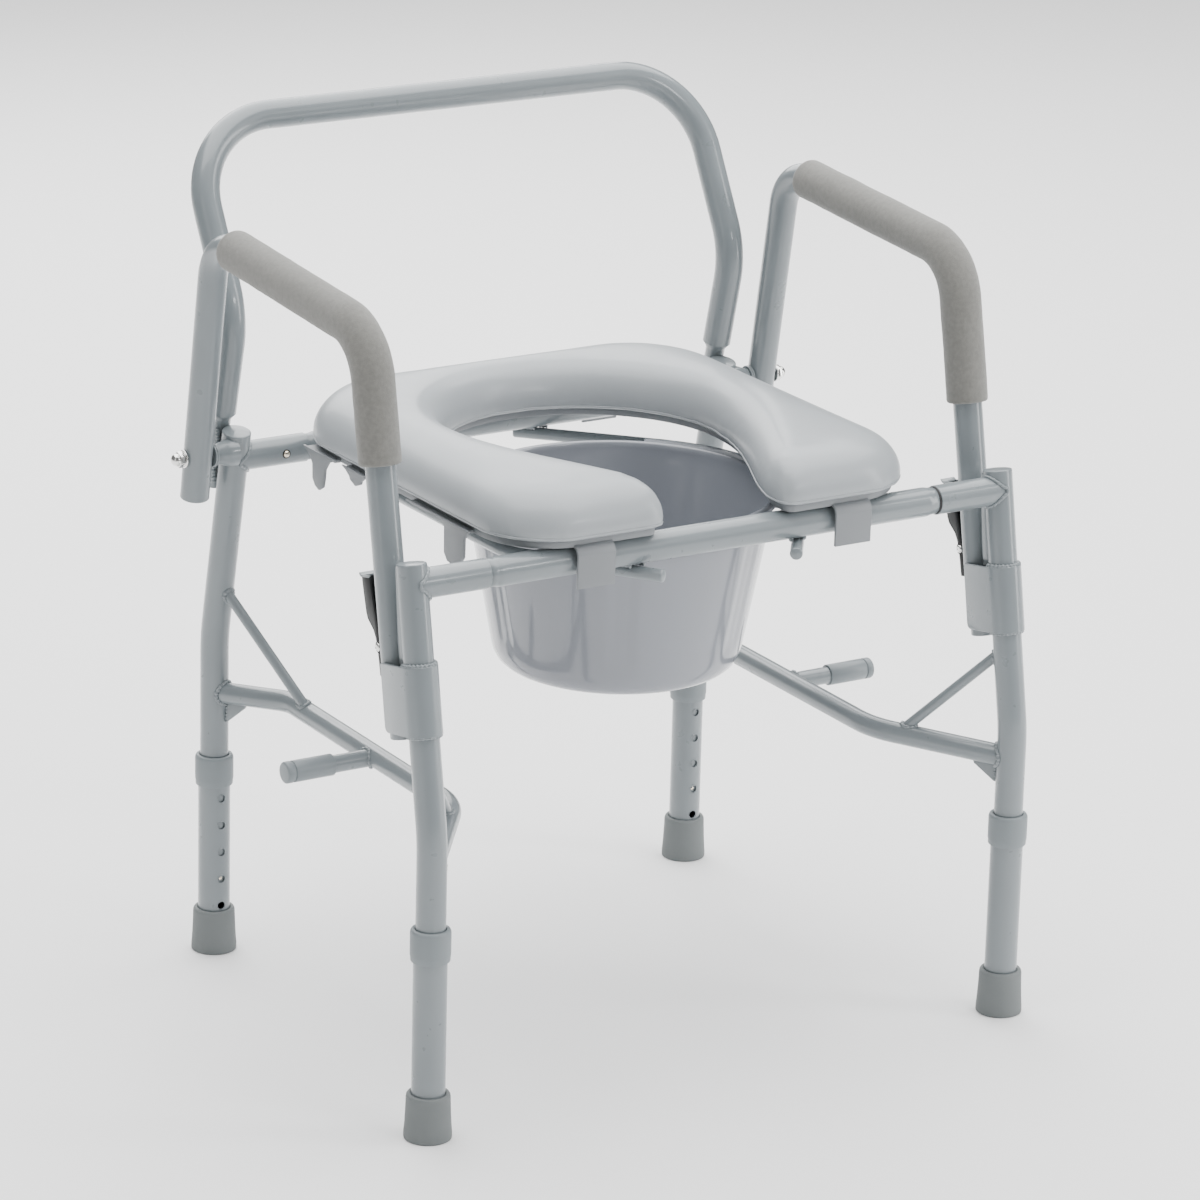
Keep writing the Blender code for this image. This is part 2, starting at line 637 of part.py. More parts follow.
# ---------------------------------------------------------------- back bar
def build_back_bar():
    left = [
        (-BACK_X, BACK_JOINT[0], BACK_JOINT[1]),
        (-BACK_X, BACK_KINK[0], BACK_KINK[1]),
        (-BACK_X, BACK_TOP[0], BACK_TOP[1]),
    ]
    right = [(-x, y, z) for x, y, z in reversed(left)]
    path = rounded_path(left + right, [BACK_KINK_R, BACK_CORNER_R, BACK_CORNER_R, BACK_KINK_R], 4)
    mesh = pipe(path, TUBE_R, TUBE_WALL, SIDES)
    part("back_bar", mesh, "frame_paint", (0, BACK_JOINT[0], BACK_JOINT[1]))


# ---------------------------------------------------------------- seat
def seat_half_opening(y):
    """Half width of the opening at a given depth, front part."""
    t = min(1.0, max(0.0, (y - 45.0) / 205.0))
    return 55.0 + 67.0 * math.sin(math.pi / 2 * t) ** 1.35


def corner_arc(cx, cy, radius, start, end, steps):
    points = []
    for k in range(steps + 1):
        angle = math.radians(start + (end - start) * k / steps)
        points.append((cx + radius * math.cos(angle), cy + radius * math.sin(angle)))
    return points


def seat_outline(inset):
    """The open-front seat shape, one side then its mirror image."""
    half = SEAT_HALF - inset
    front = SEAT_FRONT_Y + inset
    rear = SEAT_REAR_Y - inset
    mouth = 55.0 + inset
    lip = 18.0 - inset
    shoulder = 70.0 - inset
    heel = 92.0 - inset
    side = corner_arc(mouth + lip, front + lip, lip, 180, 270, 4)
    side += corner_arc(half - shoulder, front + shoulder, shoulder, 270, 360, 4)
    side += corner_arc(half - heel, rear - heel, heel, 0, 90, 5)
    inner = []
    for k in range(10):
        angle = math.radians(90 - 9 * k)
        inner.append(((122 + inset) * math.cos(angle), 250 + (116 + inset) * math.sin(angle)))
    for y in (245, 215, 185, 155, 125, 98, 74):
        inner.append((seat_half_opening(y) + inset, y))
    right = inner[1:] + side
    left = [(-x, y) for x, y in reversed(right)]
    return right + left + [inner[0]]


def build_seat():
    bm = bmesh.new()
    low = [bm.verts.new(point(x, y, CUSHION_Z[0])) for x, y in seat_outline(0.0)]
    face = bm.faces.new(low)
    grown = bmesh.ops.extrude_face_region(bm, geom=[face])
    top = [v for v in grown["geom"] if isinstance(v, bmesh.types.BMVert)]
    bmesh.ops.translate(bm, verts=top, vec=(0, 0, (CUSHION_Z[1] - CUSHION_Z[0]) * MM))
    height = point(0, 0, CUSHION_Z[1]).z
    rim = [e for e in bm.edges if all(abs(v.co.z - height) < 1e-6 for v in e.verts)]
    bmesh.ops.bevel(
        bm, geom=rim, offset=28.0 * MM, segments=3, profile=0.5, affect="EDGES", clamp_overlap=True
    )
    bmesh.ops.recalc_face_normals(bm, faces=bm.faces)
    mesh = bpy.data.meshes.new("cushion")
    bm.to_mesh(mesh)
    bm.free()
    part("seat_cushion", tidy(mesh), "seat_vinyl", (0, SEAT_REAR_Y, CUSHION_Z[0]))

    board = plate(seat_outline(5.0), FLAT, *BOARD_Z)
    shelf = (BOARD_Z[0], BOARD_Z[0] + 2.8)
    tabs = []
    front_face = FRONT_RAIL_Y - TUBE_R - GAP
    rear_face = REAR_RAIL_Y + TUBE_R + GAP
    for side in (-1, 1):
        near, far = sorted((side * 109.0, side * 145.0))
        tabs.append(block(near, far, front_face - 2.8, front_face, 449.0, BOARD_Z[1] - 1.0))
        tabs.append(block(near, far, front_face - 2.8, 60.0, *shelf))
        tabs.append(block(near + side * 4, far + side * 4, rear_face, rear_face + 2.8, 449.0, shelf[1]))
        tabs.append(block(near + side * 4, far + side * 4, 400.0, rear_face + 2.8, *shelf))
        for y0, y1, z in ((103.0, 136.0, 451.0), (278.0, 297.0, 474.0), (342.0, 363.0, 453.0)):
            near_x, far_x = sorted((side * 203.2, side * 206.0))
            tabs.append(block(near_x, far_x, y0, y1, z, shelf[1]))
            near_x, far_x = sorted((side * 180.0, side * 206.0))
            tabs.append(block(near_x, far_x, y0, y1, *shelf))
    board = join(board, *tabs)
    part("seat_board", board, "board_plastic", (0, SEAT_REAR_Y, BOARD_Z[0]))


# ---------------------------------------------------------------- pail and its rods
def build_pail():
    profile = [
        (0, 314.0), (88.0, 314.0), (98.0, 317.0), (106.0, 325.0), (109.0, 335.0), (132.4, 465.0),
        (137.0, 466.2), (137.0, 471.5), (134.0, 473.3), (130.5, 472.3), (106.4, 336.0), (103.5, 327.0),
        (96.5, 319.8), (88.0, 316.8), (0, 316.8),
    ]
    body = turned(profile, 32, (0, BUCKET_Y, 0))
    for side in (-1, 1):
        wing = []
        lip = []
        for k in range(9):
            angle = math.radians(-48 + 12 * k)
            wing.append((side * 152.0 * math.cos(angle), 152.0 * math.sin(angle)))
            lip.append((side * 152.0 * math.cos(angle), 152.0 * math.sin(angle)))
        for k in range(9):
            angle = math.radians(48 - 12 * k)
            wing.append((side * 133.6 * math.cos(angle), 133.6 * math.sin(angle)))
            lip.append((side * 149.4 * math.cos(angle), 149.4 * math.sin(angle)))
        frame = ((0, BUCKET_Y, 0), (1, 0, 0), (0, 1, 0), (0, 0, 1))
        body = join(body, plate(wing, frame, 468.8, 471.8), plate(lip, frame, 456.9, 471.0))
    part("pail", body, "pail_plastic", (0, BUCKET_Y, 314.0))
    for tag, side in (("l", -1), ("r", 1)):
        corners = [
            (side * 65.0, 14.0, ROD_Z), (side * 148.0, 130.0, ROD_Z), (side * 148.0, 326.0, ROD_Z),
            (side * 40.0, 437.0, ROD_Z),
        ]
        mesh = swept(rounded_path(corners, [45.0, 45.0], 3), ROD_R, SMALL_SIDES)
        part("pail_rod_" + tag, mesh, "frame_paint", corners[0])


# ---------------------------------------------------------------- build
for tag, side in (("l", -1), ("r", 1)):
    build_side(tag, side)
build_rail("front_rail", FRONT_RAIL_Y, FRONT_JOINT_X)
build_rail("rear_rail", REAR_RAIL_Y, REAR_JOINT_X)
build_back_bar()
build_seat()
build_pail()
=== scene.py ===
import math

import bmesh
import bpy
from mathutils import Matrix, Vector, noise
from mathutils.bvhtree import BVHTree

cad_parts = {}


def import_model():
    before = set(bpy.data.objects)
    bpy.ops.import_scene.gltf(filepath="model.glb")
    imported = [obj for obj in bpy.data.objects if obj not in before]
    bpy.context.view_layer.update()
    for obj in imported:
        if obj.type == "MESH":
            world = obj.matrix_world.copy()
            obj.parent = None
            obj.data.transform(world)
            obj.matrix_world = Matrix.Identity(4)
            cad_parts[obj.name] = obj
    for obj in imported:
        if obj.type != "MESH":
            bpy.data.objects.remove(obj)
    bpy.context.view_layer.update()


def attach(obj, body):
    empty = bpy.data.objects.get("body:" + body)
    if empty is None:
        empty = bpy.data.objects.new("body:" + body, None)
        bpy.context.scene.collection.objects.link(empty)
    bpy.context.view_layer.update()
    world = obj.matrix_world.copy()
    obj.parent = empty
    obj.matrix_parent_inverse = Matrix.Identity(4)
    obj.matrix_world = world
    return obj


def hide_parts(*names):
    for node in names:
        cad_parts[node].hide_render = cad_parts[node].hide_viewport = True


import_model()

MM = 0.001
Y_MID = 247.7

# ---------------------------------------------------------------- sizes, working millimetres
TUBE_R = 12.7
FRONT_X, REAR_X = 290.0, 250.0
FRONT_Y, REAR_Y = 2.0, 458.5
FRONT_BEND_Z, REAR_BEND_Z = 262.0, 296.0
FRONT_TOP_Z, REAR_TOP_Z = 488.0, 495.0
FRONT_LEAN, REAR_LEAN = 0.18, -0.2035
LEG_LOW_Z, LEG_BEND_R = 54.0, 160.0
RAIL_Z = 469.5
FRONT_RAIL_Y = FRONT_Y + FRONT_LEAN * (RAIL_Z - FRONT_BEND_Z)
REAR_RAIL_Y = REAR_Y + REAR_LEAN * (RAIL_Z - REAR_BEND_Z)
FRONT_JOINT_X, REAR_JOINT_X = 222.5, 181.0
PIVOT_Y, PIVOT_Z = 414.0, 477.5
ARM_REAR = (381.7, 678.6)
ARM_FRONT = (115.5, 660.7)
ARM_LEAN = 0.195
ARM_ENDS = (438.6, 357.0)
PAD_LOW = {"l": 556.0, "r": 535.0}
RIVET_Z, RIVET_BACK = 408.0, 16.4
BACK_X = 255.0
POST_Z = (438.0, 502.0, 552.0)
BACK_JOINT, BACK_KINK, BACK_TOP = (436.7, 508.0), (415.4, 597.0), (501.0, 750.0)
PEG_Y, PEG_Z = 236.5, 246.5
BRACE_R, BRACE_IN_X = 9.5, 212.0
BRACE_ENDS = (243.5, 236.5)
BRACE_BENDS = ((388.0, 249.5), (103.0, 245.5))
BUCKET_Y = 190.0
ROD_Z = 451.0
HOLE_Z = [146.8 - 25.4 * k for k in range(5)]
CRADLE_Z = (404.0, 484.0)
SOCKET_Z = (348.0, 405.0)
SOCKET_BACK = 37.2
STRUT_R = 4.6
REAR_STRUT_TOP_Z, FRONT_STRUT_TOP_Z = 347.0, 330.0
PAD_R, PAD_START_Y, PAD_BEND_R = 18.0, 349.0, 50.0
SEAT_HALF, SEAT_FRONT_Y, SEAT_REAR_Y = 207.0, 18.0, 432.0
MOUTH_HALF, MOUTH_LIP = 55.0, 18.0
HOLE_Y, HOLE_HALF, HOLE_REACH = 250.0, 122.0, 116.0
CUSHION_LOW, CUSHION_HEIGHT = 488.8, 42.8
PAN_Z = (483.4, 489.9)
WING_IN_R, WING_LIP_R, WING_OUT_R, WING_TOP_Z = 134.0, 149.4, 152.0, 471.6
SIDES = (("l", -1), ("r", 1))
FLAT = ((0, 0, 0), (1, 0, 0), (0, 1, 0), (0, 0, 1))
UPRIGHT = ((0, 0, 0), (0, 1, 0), (0, 0, 1), (1, 0, 0))


def world(p):
    """A working point in the frame's metres."""
    return Vector((p[0], p[1] - Y_MID, p[2])) * MM


# ---------------------------------------------------------------- materials
def new_material(name, color, roughness, metallic=0.0, **inputs):
    mat = bpy.data.materials.new(name)
    mat.use_nodes = True
    shader = mat.node_tree.nodes["Principled BSDF"]
    shader.inputs["Base Color"].default_value = (*color, 1)
    shader.inputs["Roughness"].default_value = roughness
    shader.inputs["Metallic"].default_value = metallic
    for key, value in inputs.items():
        shader.inputs[key.replace("_", " ")].default_value = value
    mat.diffuse_color = (*color, 1)
    return mat, mat.node_tree, shader


def add_noise(tree, scale, detail=3.0, rough=0.5):
    where = tree.nodes.new("ShaderNodeTexCoord")
    node = tree.nodes.new("ShaderNodeTexNoise")
    node.inputs["Scale"].default_value = scale
    node.inputs["Detail"].default_value = detail
    node.inputs["Roughness"].default_value = rough
    tree.links.new(where.outputs["Object"], node.inputs["Vector"])
    return node.outputs["Fac"]


def noise_range(tree, scale, low, high):
    """Noise spread over the range low to high."""
    ramp = tree.nodes.new("ShaderNodeMapRange")
    ramp.inputs["From Min"].default_value = 0.3
    ramp.inputs["From Max"].default_value = 0.7
    ramp.inputs["To Min"].default_value = low
    ramp.inputs["To Max"].default_value = high
    tree.links.new(add_noise(tree, scale), ramp.inputs["Value"])
    return ramp.outputs["Result"]


def mottle(tree, shader, color, scale, spread):
    """Varies the base colour a little either side of color."""
    mix = tree.nodes.new("ShaderNodeVectorMath")
    mix.operation = "SCALE"
    mix.inputs[0].default_value = color
    tree.links.new(noise_range(tree, scale, 1 - spread, 1 + spread), mix.inputs["Scale"])
    tree.links.new(mix.outputs["Vector"], shader.inputs["Base Color"])


def vary_roughness(tree, shader, scale, low, high):
    tree.links.new(noise_range(tree, scale, low, high), shader.inputs["Roughness"])


def add_bump(tree, shader, heights, strength, distance):
    bump = tree.nodes.new("ShaderNodeBump")
    bump.inputs["Strength"].default_value = strength
    bump.inputs["Distance"].default_value = distance
    tree.links.new(heights, bump.inputs["Height"])
    tree.links.new(bump.outputs["Normal"], shader.inputs["Normal"])


def cells(tree, scale):
    where = tree.nodes.new("ShaderNodeTexCoord")
    node = tree.nodes.new("ShaderNodeTexVoronoi")
    node.inputs["Scale"].default_value = scale
    tree.links.new(where.outputs["Object"], node.inputs["Vector"])
    return node.outputs["Distance"]


def paint():
    color = (0.188, 0.214, 0.227)
    mat, tree, shader = new_material("frame_paint", color, 0.30, Coat_Weight=0.5, Coat_Roughness=0.10)
    mottle(tree, shader, color, 9.0, 0.03)
    vary_roughness(tree, shader, 60.0, 0.27, 0.35)
    add_bump(tree, shader, add_noise(tree, 420.0, 2.0), 0.12, 0.0004)
    return mat


def vinyl():
    color = (0.330, 0.354, 0.371)
    mat, tree, shader = new_material("seat_vinyl", color, 0.38, Coat_Weight=0.3, Coat_Roughness=0.22)
    mottle(tree, shader, color, 7.0, 0.015)
    vary_roughness(tree, shader, 40.0, 0.38, 0.46)
    add_bump(tree, shader, cells(tree, 900.0), 0.10, 0.0003)
    return mat


def foam():
    color = (0.166, 0.164, 0.150)
    mat, tree, shader = new_material("arm_foam", color, 0.92, Sheen_Weight=0.25, Sheen_Roughness=0.6)
    mottle(tree, shader, color, 260.0, 0.10)
    add_bump(tree, shader, add_noise(tree, 900.0, 4.0, 0.7), 0.55, 0.0005)
    return mat


def plastic(name, color, low, high, grain=300.0, strength=0.06, spread=0.02, **inputs):
    mat, tree, shader = new_material(name, color, low, **inputs)
    mottle(tree, shader, color, 12.0, spread)
    vary_roughness(tree, shader, 80.0, low, high)
    add_bump(tree, shader, add_noise(tree, grain, 3.0), strength, 0.0004)
    return mat


def metal(name, color, low, high):
    mat, tree, shader = new_material(name, color, low, metallic=1.0)
    vary_roughness(tree, shader, 300.0, low, high)
    add_bump(tree, shader, add_noise(tree, 500.0, 2.0), 0.04, 0.0002)
    return mat


MATS = {
    "frame_paint": paint(),
    "seat_vinyl": vinyl(),
    "arm_foam": foam(),
    "pail_plastic": plastic("pail_plastic", (0.240, 0.254, 0.283), 0.12, 0.17, 30.0, 0.03, 0.01,
                            Coat_Weight=0.4, Coat_Roughness=0.05),
    "board_plastic": plastic("board_plastic", (0.200, 0.213, 0.225), 0.42, 0.5),
    "tip_rubber": plastic("tip_rubber", (0.152, 0.167, 0.168), 0.58, 0.7, 500.0, 0.2),
    "collar_plastic": plastic("collar_plastic", (0.192, 0.218, 0.230), 0.42, 0.5),
    "sleeve_plastic": plastic("sleeve_plastic", (0.188, 0.214, 0.227), 0.34, 0.42),
    "lever_paint": plastic("lever_paint", (0.020, 0.021, 0.022), 0.36, 0.44, 400.0, 0.1,
                           Specular_IOR_Level=0.18),
    "bolt_chrome": metal("bolt_chrome", (0.80, 0.80, 0.78), 0.12, 0.2),
    "button_brass": metal("button_brass", (0.80, 0.72, 0.58), 0.16, 0.26),
    # Near-black painted shade: the dark seen in narrow gaps and round hole edges, made as a solid.
    "painted_gap_shade": plastic("painted_gap_shade", (0.012, 0.012, 0.013), 0.6, 0.7),
}


# ---------------------------------------------------------------- mesh helpers
def object_from(name, piece):
    """A new object from a piece's gathered faces, its normals facing out."""
    mesh = bpy.data.meshes.new(name)
    mesh.from_pydata([world(v) for v in piece.verts], [], piece.faces)
    mesh.update()
    bm = bmesh.new()
    bm.from_mesh(mesh)
    bmesh.ops.recalc_face_normals(bm, faces=bm.faces)
    bm.to_mesh(mesh)
    bm.free()
    obj = bpy.data.objects.new(name, mesh)
    bpy.context.scene.collection.objects.link(obj)
    return obj


class Piece:
    """Faces gathered in working millimetres and made into one object at the end."""

    def __init__(self):
        self.verts = []
        self.faces = []

    def loops(self, loops, closed=False, caps=True):
        """Bridges equal-sized closed loops of points."""
        start = len(self.verts)
        count = len(loops[0])
        for loop in loops:
            self.verts += [Vector(p) for p in loop]
        pairs = len(loops) if closed else len(loops) - 1
        for i in range(pairs):
            a = start + i * count
            b = start + ((i + 1) % len(loops)) * count
            for k in range(count):
                n = (k + 1) % count
                self.faces.append((a + k, a + n, b + n, b + k))
        if caps and not closed:
            self.faces.append(tuple(reversed(range(start, start + count))))
            last = start + (len(loops) - 1) * count
            self.faces.append(tuple(range(last, last + count)))
        return self

    def lathe(self, profile, base=(0, 0, 0), axis=(0, 0, 1), sides=48, closed=False):
        """Turns (radius, height) points about an axis."""
        base, up = Vector(base), Vector(axis).normalized()
        u = up.orthogonal().normalized()
        v = up.cross(u)
        loops = [circle(base + up * h, u, v, max(r, 0.02), sides) for r, h in profile]
        return self.loops(loops, closed, not closed)

    def tube(self, path, radius, start="cap", end="cap", wall=1.5, sides=40, depth=30.0, bevel=1.0, rise=0.5):
        """A tube along a path. Each end is a cap or open."""
        centres, frames = transport(path)
        lengths = [0.0]
        for a, b in zip(centres, centres[1:]):
            lengths.append(lengths[-1] + (b - a).length)
        total = lengths[-1]
        head = end_rings(start, radius, wall, depth, bevel, rise)
        body = [(s, radius) for s in lengths if 2.5 < s < total - 2.5]
        tail = [(total - s, r) for s, r in end_rings(end, radius, wall, depth, bevel, rise)]
        loops = []
        for s, r in head + body + tail[::-1]:
            loops.append(circle(*along(centres, frames, lengths, s), r, sides))
        return self.loops(loops)

    def bead(self, path, radius, ripple=0.25, pitch=3.2, closed=True, sides=10):
        """A round bead along a path: a weld when rippled, piping or a thin rim when not."""
        points = resample([Vector(p) for p in path], pitch / 5, closed)
        centres, frames = transport(points, closed)
        loops = []
        for i, (c, (u, v)) in enumerate(zip(centres, frames)):
            wave = 1 + ripple * math.sin(2 * math.pi * i / 5) * 0.6
            wave *= 1 + 0.16 * noise.noise(c * 0.35)
            loops.append(circle(c, u, v, radius * wave, sides))
        return self.loops(loops, closed)

    def plate(self, outline, place, low, high):
        """An outline pushed along the third axis of place = (base, first, second, third)."""
        base, first, second, third = [Vector(v) for v in place]
        loops = []
        for h in (low, high):
            loops.append([base + first * a + second * b + third * h for a, b in outline])
        return self.loops(loops)

    def make(self, name, finish, body, nodes=(), angle=34.0, bevel=0.0, steps=2, cutters=()):
        """The finished object: holes cut, edges rounded, riding on its body."""
        obj = object_from(name, self)
        if cutters:
            drill(obj, cutters)
        if bevel:
            edge = obj.modifiers.new("edge", "BEVEL")
            edge.width = bevel * MM
            edge.segments = steps
            edge.limit_method = "ANGLE"
            edge.angle_limit = math.radians(angle)
            bake(obj)
        finish_object(obj, finish, body, nodes, angle)
        return obj


def circle(centre, u, v, radius, sides):
    """A ring of points round centre, in the plane of u and v."""
    angles = [2 * math.pi * k / sides for k in range(sides)]
    return [centre + (u * math.cos(t) + v * math.sin(t)) * radius for t in angles]


def end_rings(kind, radius, wall, depth, bevel, rise):
    """(distance, radius) rings of a tube end, from the middle of the end outward."""
    if kind == "open":
        inner = radius - wall
        return [
            (depth, inner), (0.35, inner), (0.0, inner + 0.35), (0.0, radius - 0.35), (0.35, radius),
            (2.4, radius),
        ]
    rings = [(0.0, 0.3)]
    for k in range(1, 5):
        t = k / 5
        rings.append((rise * t * t, (radius - bevel) * t))
    for k in range(5):
        t = math.pi / 2 * k / 4
        rings.append((rise + bevel * (1 - math.cos(t)), radius - bevel + bevel * math.sin(t)))
    rings.append((rise + bevel + 0.6, radius))
    return rings


def bar(start, end):
    """A straight path with a point at its middle."""
    return [Vector(start), Vector(start).lerp(Vector(end), 0.5), Vector(end)]


def transport(path, closed=False):
    """Points and a pair of cross axes at each that don't twist."""
    points = [Vector(p) for p in path]
    count = len(points)
    tangents = []
    for i in range(count):
        if closed:
            step = points[(i + 1) % count] - points[i - 1]
        else:
            step = points[min(i + 1, count - 1)] - points[max(i - 1, 0)]
        tangents.append(step.normalized())
    u = tangents[0].orthogonal().normalized()
    frames = []
    for i, t in enumerate(tangents):
        if i:
            turn = tangents[i - 1].rotation_difference(t)
            u = (turn @ u).normalized()
            u = (u - t * u.dot(t)).normalized()
        frames.append((u, t.cross(u)))
    return points, frames


def along(centres, frames, lengths, s):
    """The centre and cross axes at distance s along a path."""
    s = min(max(s, 0.0), lengths[-1])
    i = 0
    while i < len(lengths) - 2 and lengths[i + 1] < s:
        i += 1
    t = (s - lengths[i]) / max(lengths[i + 1] - lengths[i], 1e-9)
    u = frames[i][0].lerp(frames[i + 1][0], t).normalized()
    v = frames[i][1].lerp(frames[i + 1][1], t).normalized()
    return centres[i].lerp(centres[i + 1], t), u, v


def resample(points, step, closed):
    """The same line with its points about step apart."""
    if closed:
        points = points + [points[0]]
    lengths = [0.0]
    for a, b in zip(points, points[1:]):
        lengths.append(lengths[-1] + (b - a).length)
    count = max(8, round(lengths[-1] / step))
    result = []
    i = 0
    for k in range(count if closed else count + 1):
        s = lengths[-1] * k / count
        while i < len(points) - 2 and lengths[i + 1] < s:
            i += 1
        t = (s - lengths[i]) / max(lengths[i + 1] - lengths[i], 1e-9)
        result.append(points[i].lerp(points[i + 1], t))
    return result


def rounded(corners, radii, steps=14):
    """A line with its inner corners rounded."""
    path = [Vector(corners[0])]
    for i in range(1, len(corners) - 1):
        here = Vector(corners[i])
        back = (Vector(corners[i - 1]) - here).normalized()
        ahead = (Vector(corners[i + 1]) - here).normalized()
        half = back.angle(ahead) / 2
        reach = radii[i - 1] / math.tan(half)
        centre = here + (back + ahead).normalized() * radii[i - 1] / math.sin(half)
        start = here + back * reach - centre
        end = here + ahead * reach - centre
        turn = start.angle(end)
        for k in range(steps + 1):
            t = k / steps
            arm = (start * math.sin((1 - t) * turn) + end * math.sin(t * turn)) / math.sin(turn)
            path.append(centre + arm)
    path.append(Vector(corners[-1]))
    return path


def joint_line(a, da, ra, b, db, rb, toward=1, count=72):
    """The line where a round bar (a, da, ra) runs into a tube (b, db, rb)."""
    a, b = Vector(a), Vector(b)
    da, db = Vector(da).normalized(), Vector(db).normalized()
    u = da.orthogonal().normalized()
    v = da.cross(u)
    line = []
    for k in range(count):
        t = 2 * math.pi * k / count
        p = a + (u * math.cos(t) + v * math.sin(t)) * ra - b
        side = p - db * p.dot(db)
        step = da - db * da.dot(db)
        qa, qb, qc = step.dot(step), 2 * side.dot(step), side.dot(side) - rb * rb
        root = max(qb * qb - 4 * qa * qc, 0.0)
        s = (-qb - toward * math.sqrt(root)) / (2 * qa)
        line.append(b + p + da * s)
    return line


def bake(obj):
    """Replaces the mesh with what its modifiers make of it."""
    seen = bpy.context.evaluated_depsgraph_get()
    seen.update()
    mesh = bpy.data.meshes.new_from_object(obj.evaluated_get(seen))
    obj.modifiers.clear()
    obj.data = mesh


def drill(obj, cutters):
    """Cuts round holes given as (start, end, radius)."""
    tools = []
    for start, end, radius in cutters:
        tool = object_from("drill", Piece().tube(bar(start, end), radius, sides=32))
        tools.append(tool)
        hole = obj.modifiers.new("hole", "BOOLEAN")
        hole.operation = "DIFFERENCE"
        hole.solver = "EXACT"
        hole.object = tool
    bake(obj)
    for tool in tools:
        bpy.data.objects.remove(tool, do_unlink=True)


def finish_object(obj, finish, body, nodes, angle=34.0):
    """Gives a piece its shading and material, and fixes it to its body in the frame."""
    for poly in obj.data.polygons:
        poly.use_smooth = True
    obj.data.set_sharp_from_angle(angle=math.radians(angle))
    obj.data.materials.clear()
    obj.data.materials.append(MATS[finish])
    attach(obj, body)
    if nodes:
        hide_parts(*nodes)


# ---------------------------------------------------------------- shared lines
def front_leg_y(z):
    return FRONT_Y + FRONT_LEAN * max(0.0, z - FRONT_BEND_Z)


def rear_leg_y(z):
    return REAR_Y + REAR_LEAN * max(0.0, z - REAR_BEND_Z)


def arm_leg_y(z):
    return ARM_FRONT[0] + ARM_LEAN * (z - ARM_FRONT[1])


LEAN = math.hypot(1.0, FRONT_LEAN)
LEAN_UP = Vector((0, FRONT_LEAN, 1)) / LEAN
LEAN_BACK = Vector((0, 1, -FRONT_LEAN)) / LEAN
ARM_UP = Vector((0, ARM_LEAN, 1)).normalized()
ARM_BACK = Vector((0, 1, -ARM_LEAN)).normalized()
REAR_UP = Vector((0, REAR_LEAN, 1)).normalized()
BACK_SLOPE = (BACK_KINK[0] - BACK_JOINT[0]) / (BACK_KINK[1] - BACK_JOINT[1])
BACK_AXIS = Vector((0, BACK_SLOPE, 1)).normalized()


def back_line_y(z):
    return BACK_JOINT[0] + BACK_SLOPE * (z - BACK_JOINT[1])


# ---------------------------------------------------------------- legs and feet
def build_legs(tag, side):
    """The bent upper legs, upright below their bends."""
    legs = (
        ("front", side * FRONT_X, FRONT_Y, FRONT_BEND_Z, FRONT_TOP_Z, front_leg_y),
        ("rear", side * REAR_X, REAR_Y, REAR_BEND_Z, REAR_TOP_Z, rear_leg_y),
    )
    for end, x, y, bend_z, top_z, leg_y in legs:
        path = rounded([(x, y, LEG_LOW_Z), (x, y, bend_z), (x, leg_y(top_z), top_z)], [LEG_BEND_R])
        Piece().tube(path, TUBE_R, rise=0.7, bevel=1.3, sides=48).make(
            "leg_%s_%s" % (end, tag), "frame_paint", "frame", ["%s_leg_%s" % (end, tag)])


def build_foot(tag, x, y, facing):
    """A sliding lower leg with its row of holes, collar, rubber tip and snap button."""
    body = "foot_" + tag
    wall = [(13.0, 4.0), (13.0, 179.6), (13.3, 180.0), (14.0, 180.0), (14.3, 179.6), (14.3, 4.0)]
    holes = [((x, y, z), (x, y + facing * 22, z), 3.8) for z in HOLE_Z]
    leg = Piece().lathe(wall, (x, y, 0), sides=64, closed=True)
    leg.make("lower_leg_" + tag, "frame_paint", body, ["leg_extension_" + tag], cutters=holes)
    rims = Piece()
    for z in HOLE_Z:
        line = joint_line((x, y, z), (0, facing, 0), 3.85, (x, y, z), (0, 0, 1), 14.25, -1)
        rims.bead(line, 0.42, ripple=0.0, pitch=2.0, sides=8)
    rims.make("hole_rims_" + tag, "frame_paint", body)

    collar = [
        (14.6, 157.5), (16.2, 157.5), (16.6, 158.0), (16.7, 161.6), (17.0, 162.4), (17.1, 163.4),
        (17.15, 181.8), (16.9, 183.4), (16.2, 184.8), (15.2, 185.5), (13.4, 185.5), (13.05, 185.1),
        (13.05, 180.4), (14.6, 180.4),
    ]
    Piece().lathe(collar, (x, y, 0), sides=64, closed=True).make(
        "collar_" + tag, "collar_plastic", body, ["leg_collar_" + tag], angle=50)
    tip = [
        (0, 0.2), (15.5, 0.2), (16.0, 0.9), (17.6, 0.9), (18.0, 0.0), (19.4, 0.0), (20.1, 0.5), (20.3, 1.6),
        (20.3, 5.0), (20.0, 8.5), (19.6, 14), (19.2, 22), (18.85, 31), (18.7, 36.6), (18.3, 38.6),
        (17.6, 39.7), (16.6, 40.0), (15.0, 39.9), (14.6, 39.5), (14.4, 38.0), (14.4, 4.4), (0, 4.4),
    ]
    Piece().lathe(tip, (x, y, 0), sides=64).make(
        "tip_" + tag, "tip_rubber", body, ["leg_tip_" + tag], angle=50)
    knob = [(3.1, 4.5), (3.1, 10.6), (2.9, 11.5), (2.2, 12.3), (1.2, 12.8), (0, 13.0)]
    Piece().lathe(knob, (x, y, HOLE_Z[3]), (0, facing, 0), 32).make(
        "snap_leg_" + tag, "button_brass", "leg_button_" + tag, ["leg_button_" + tag])


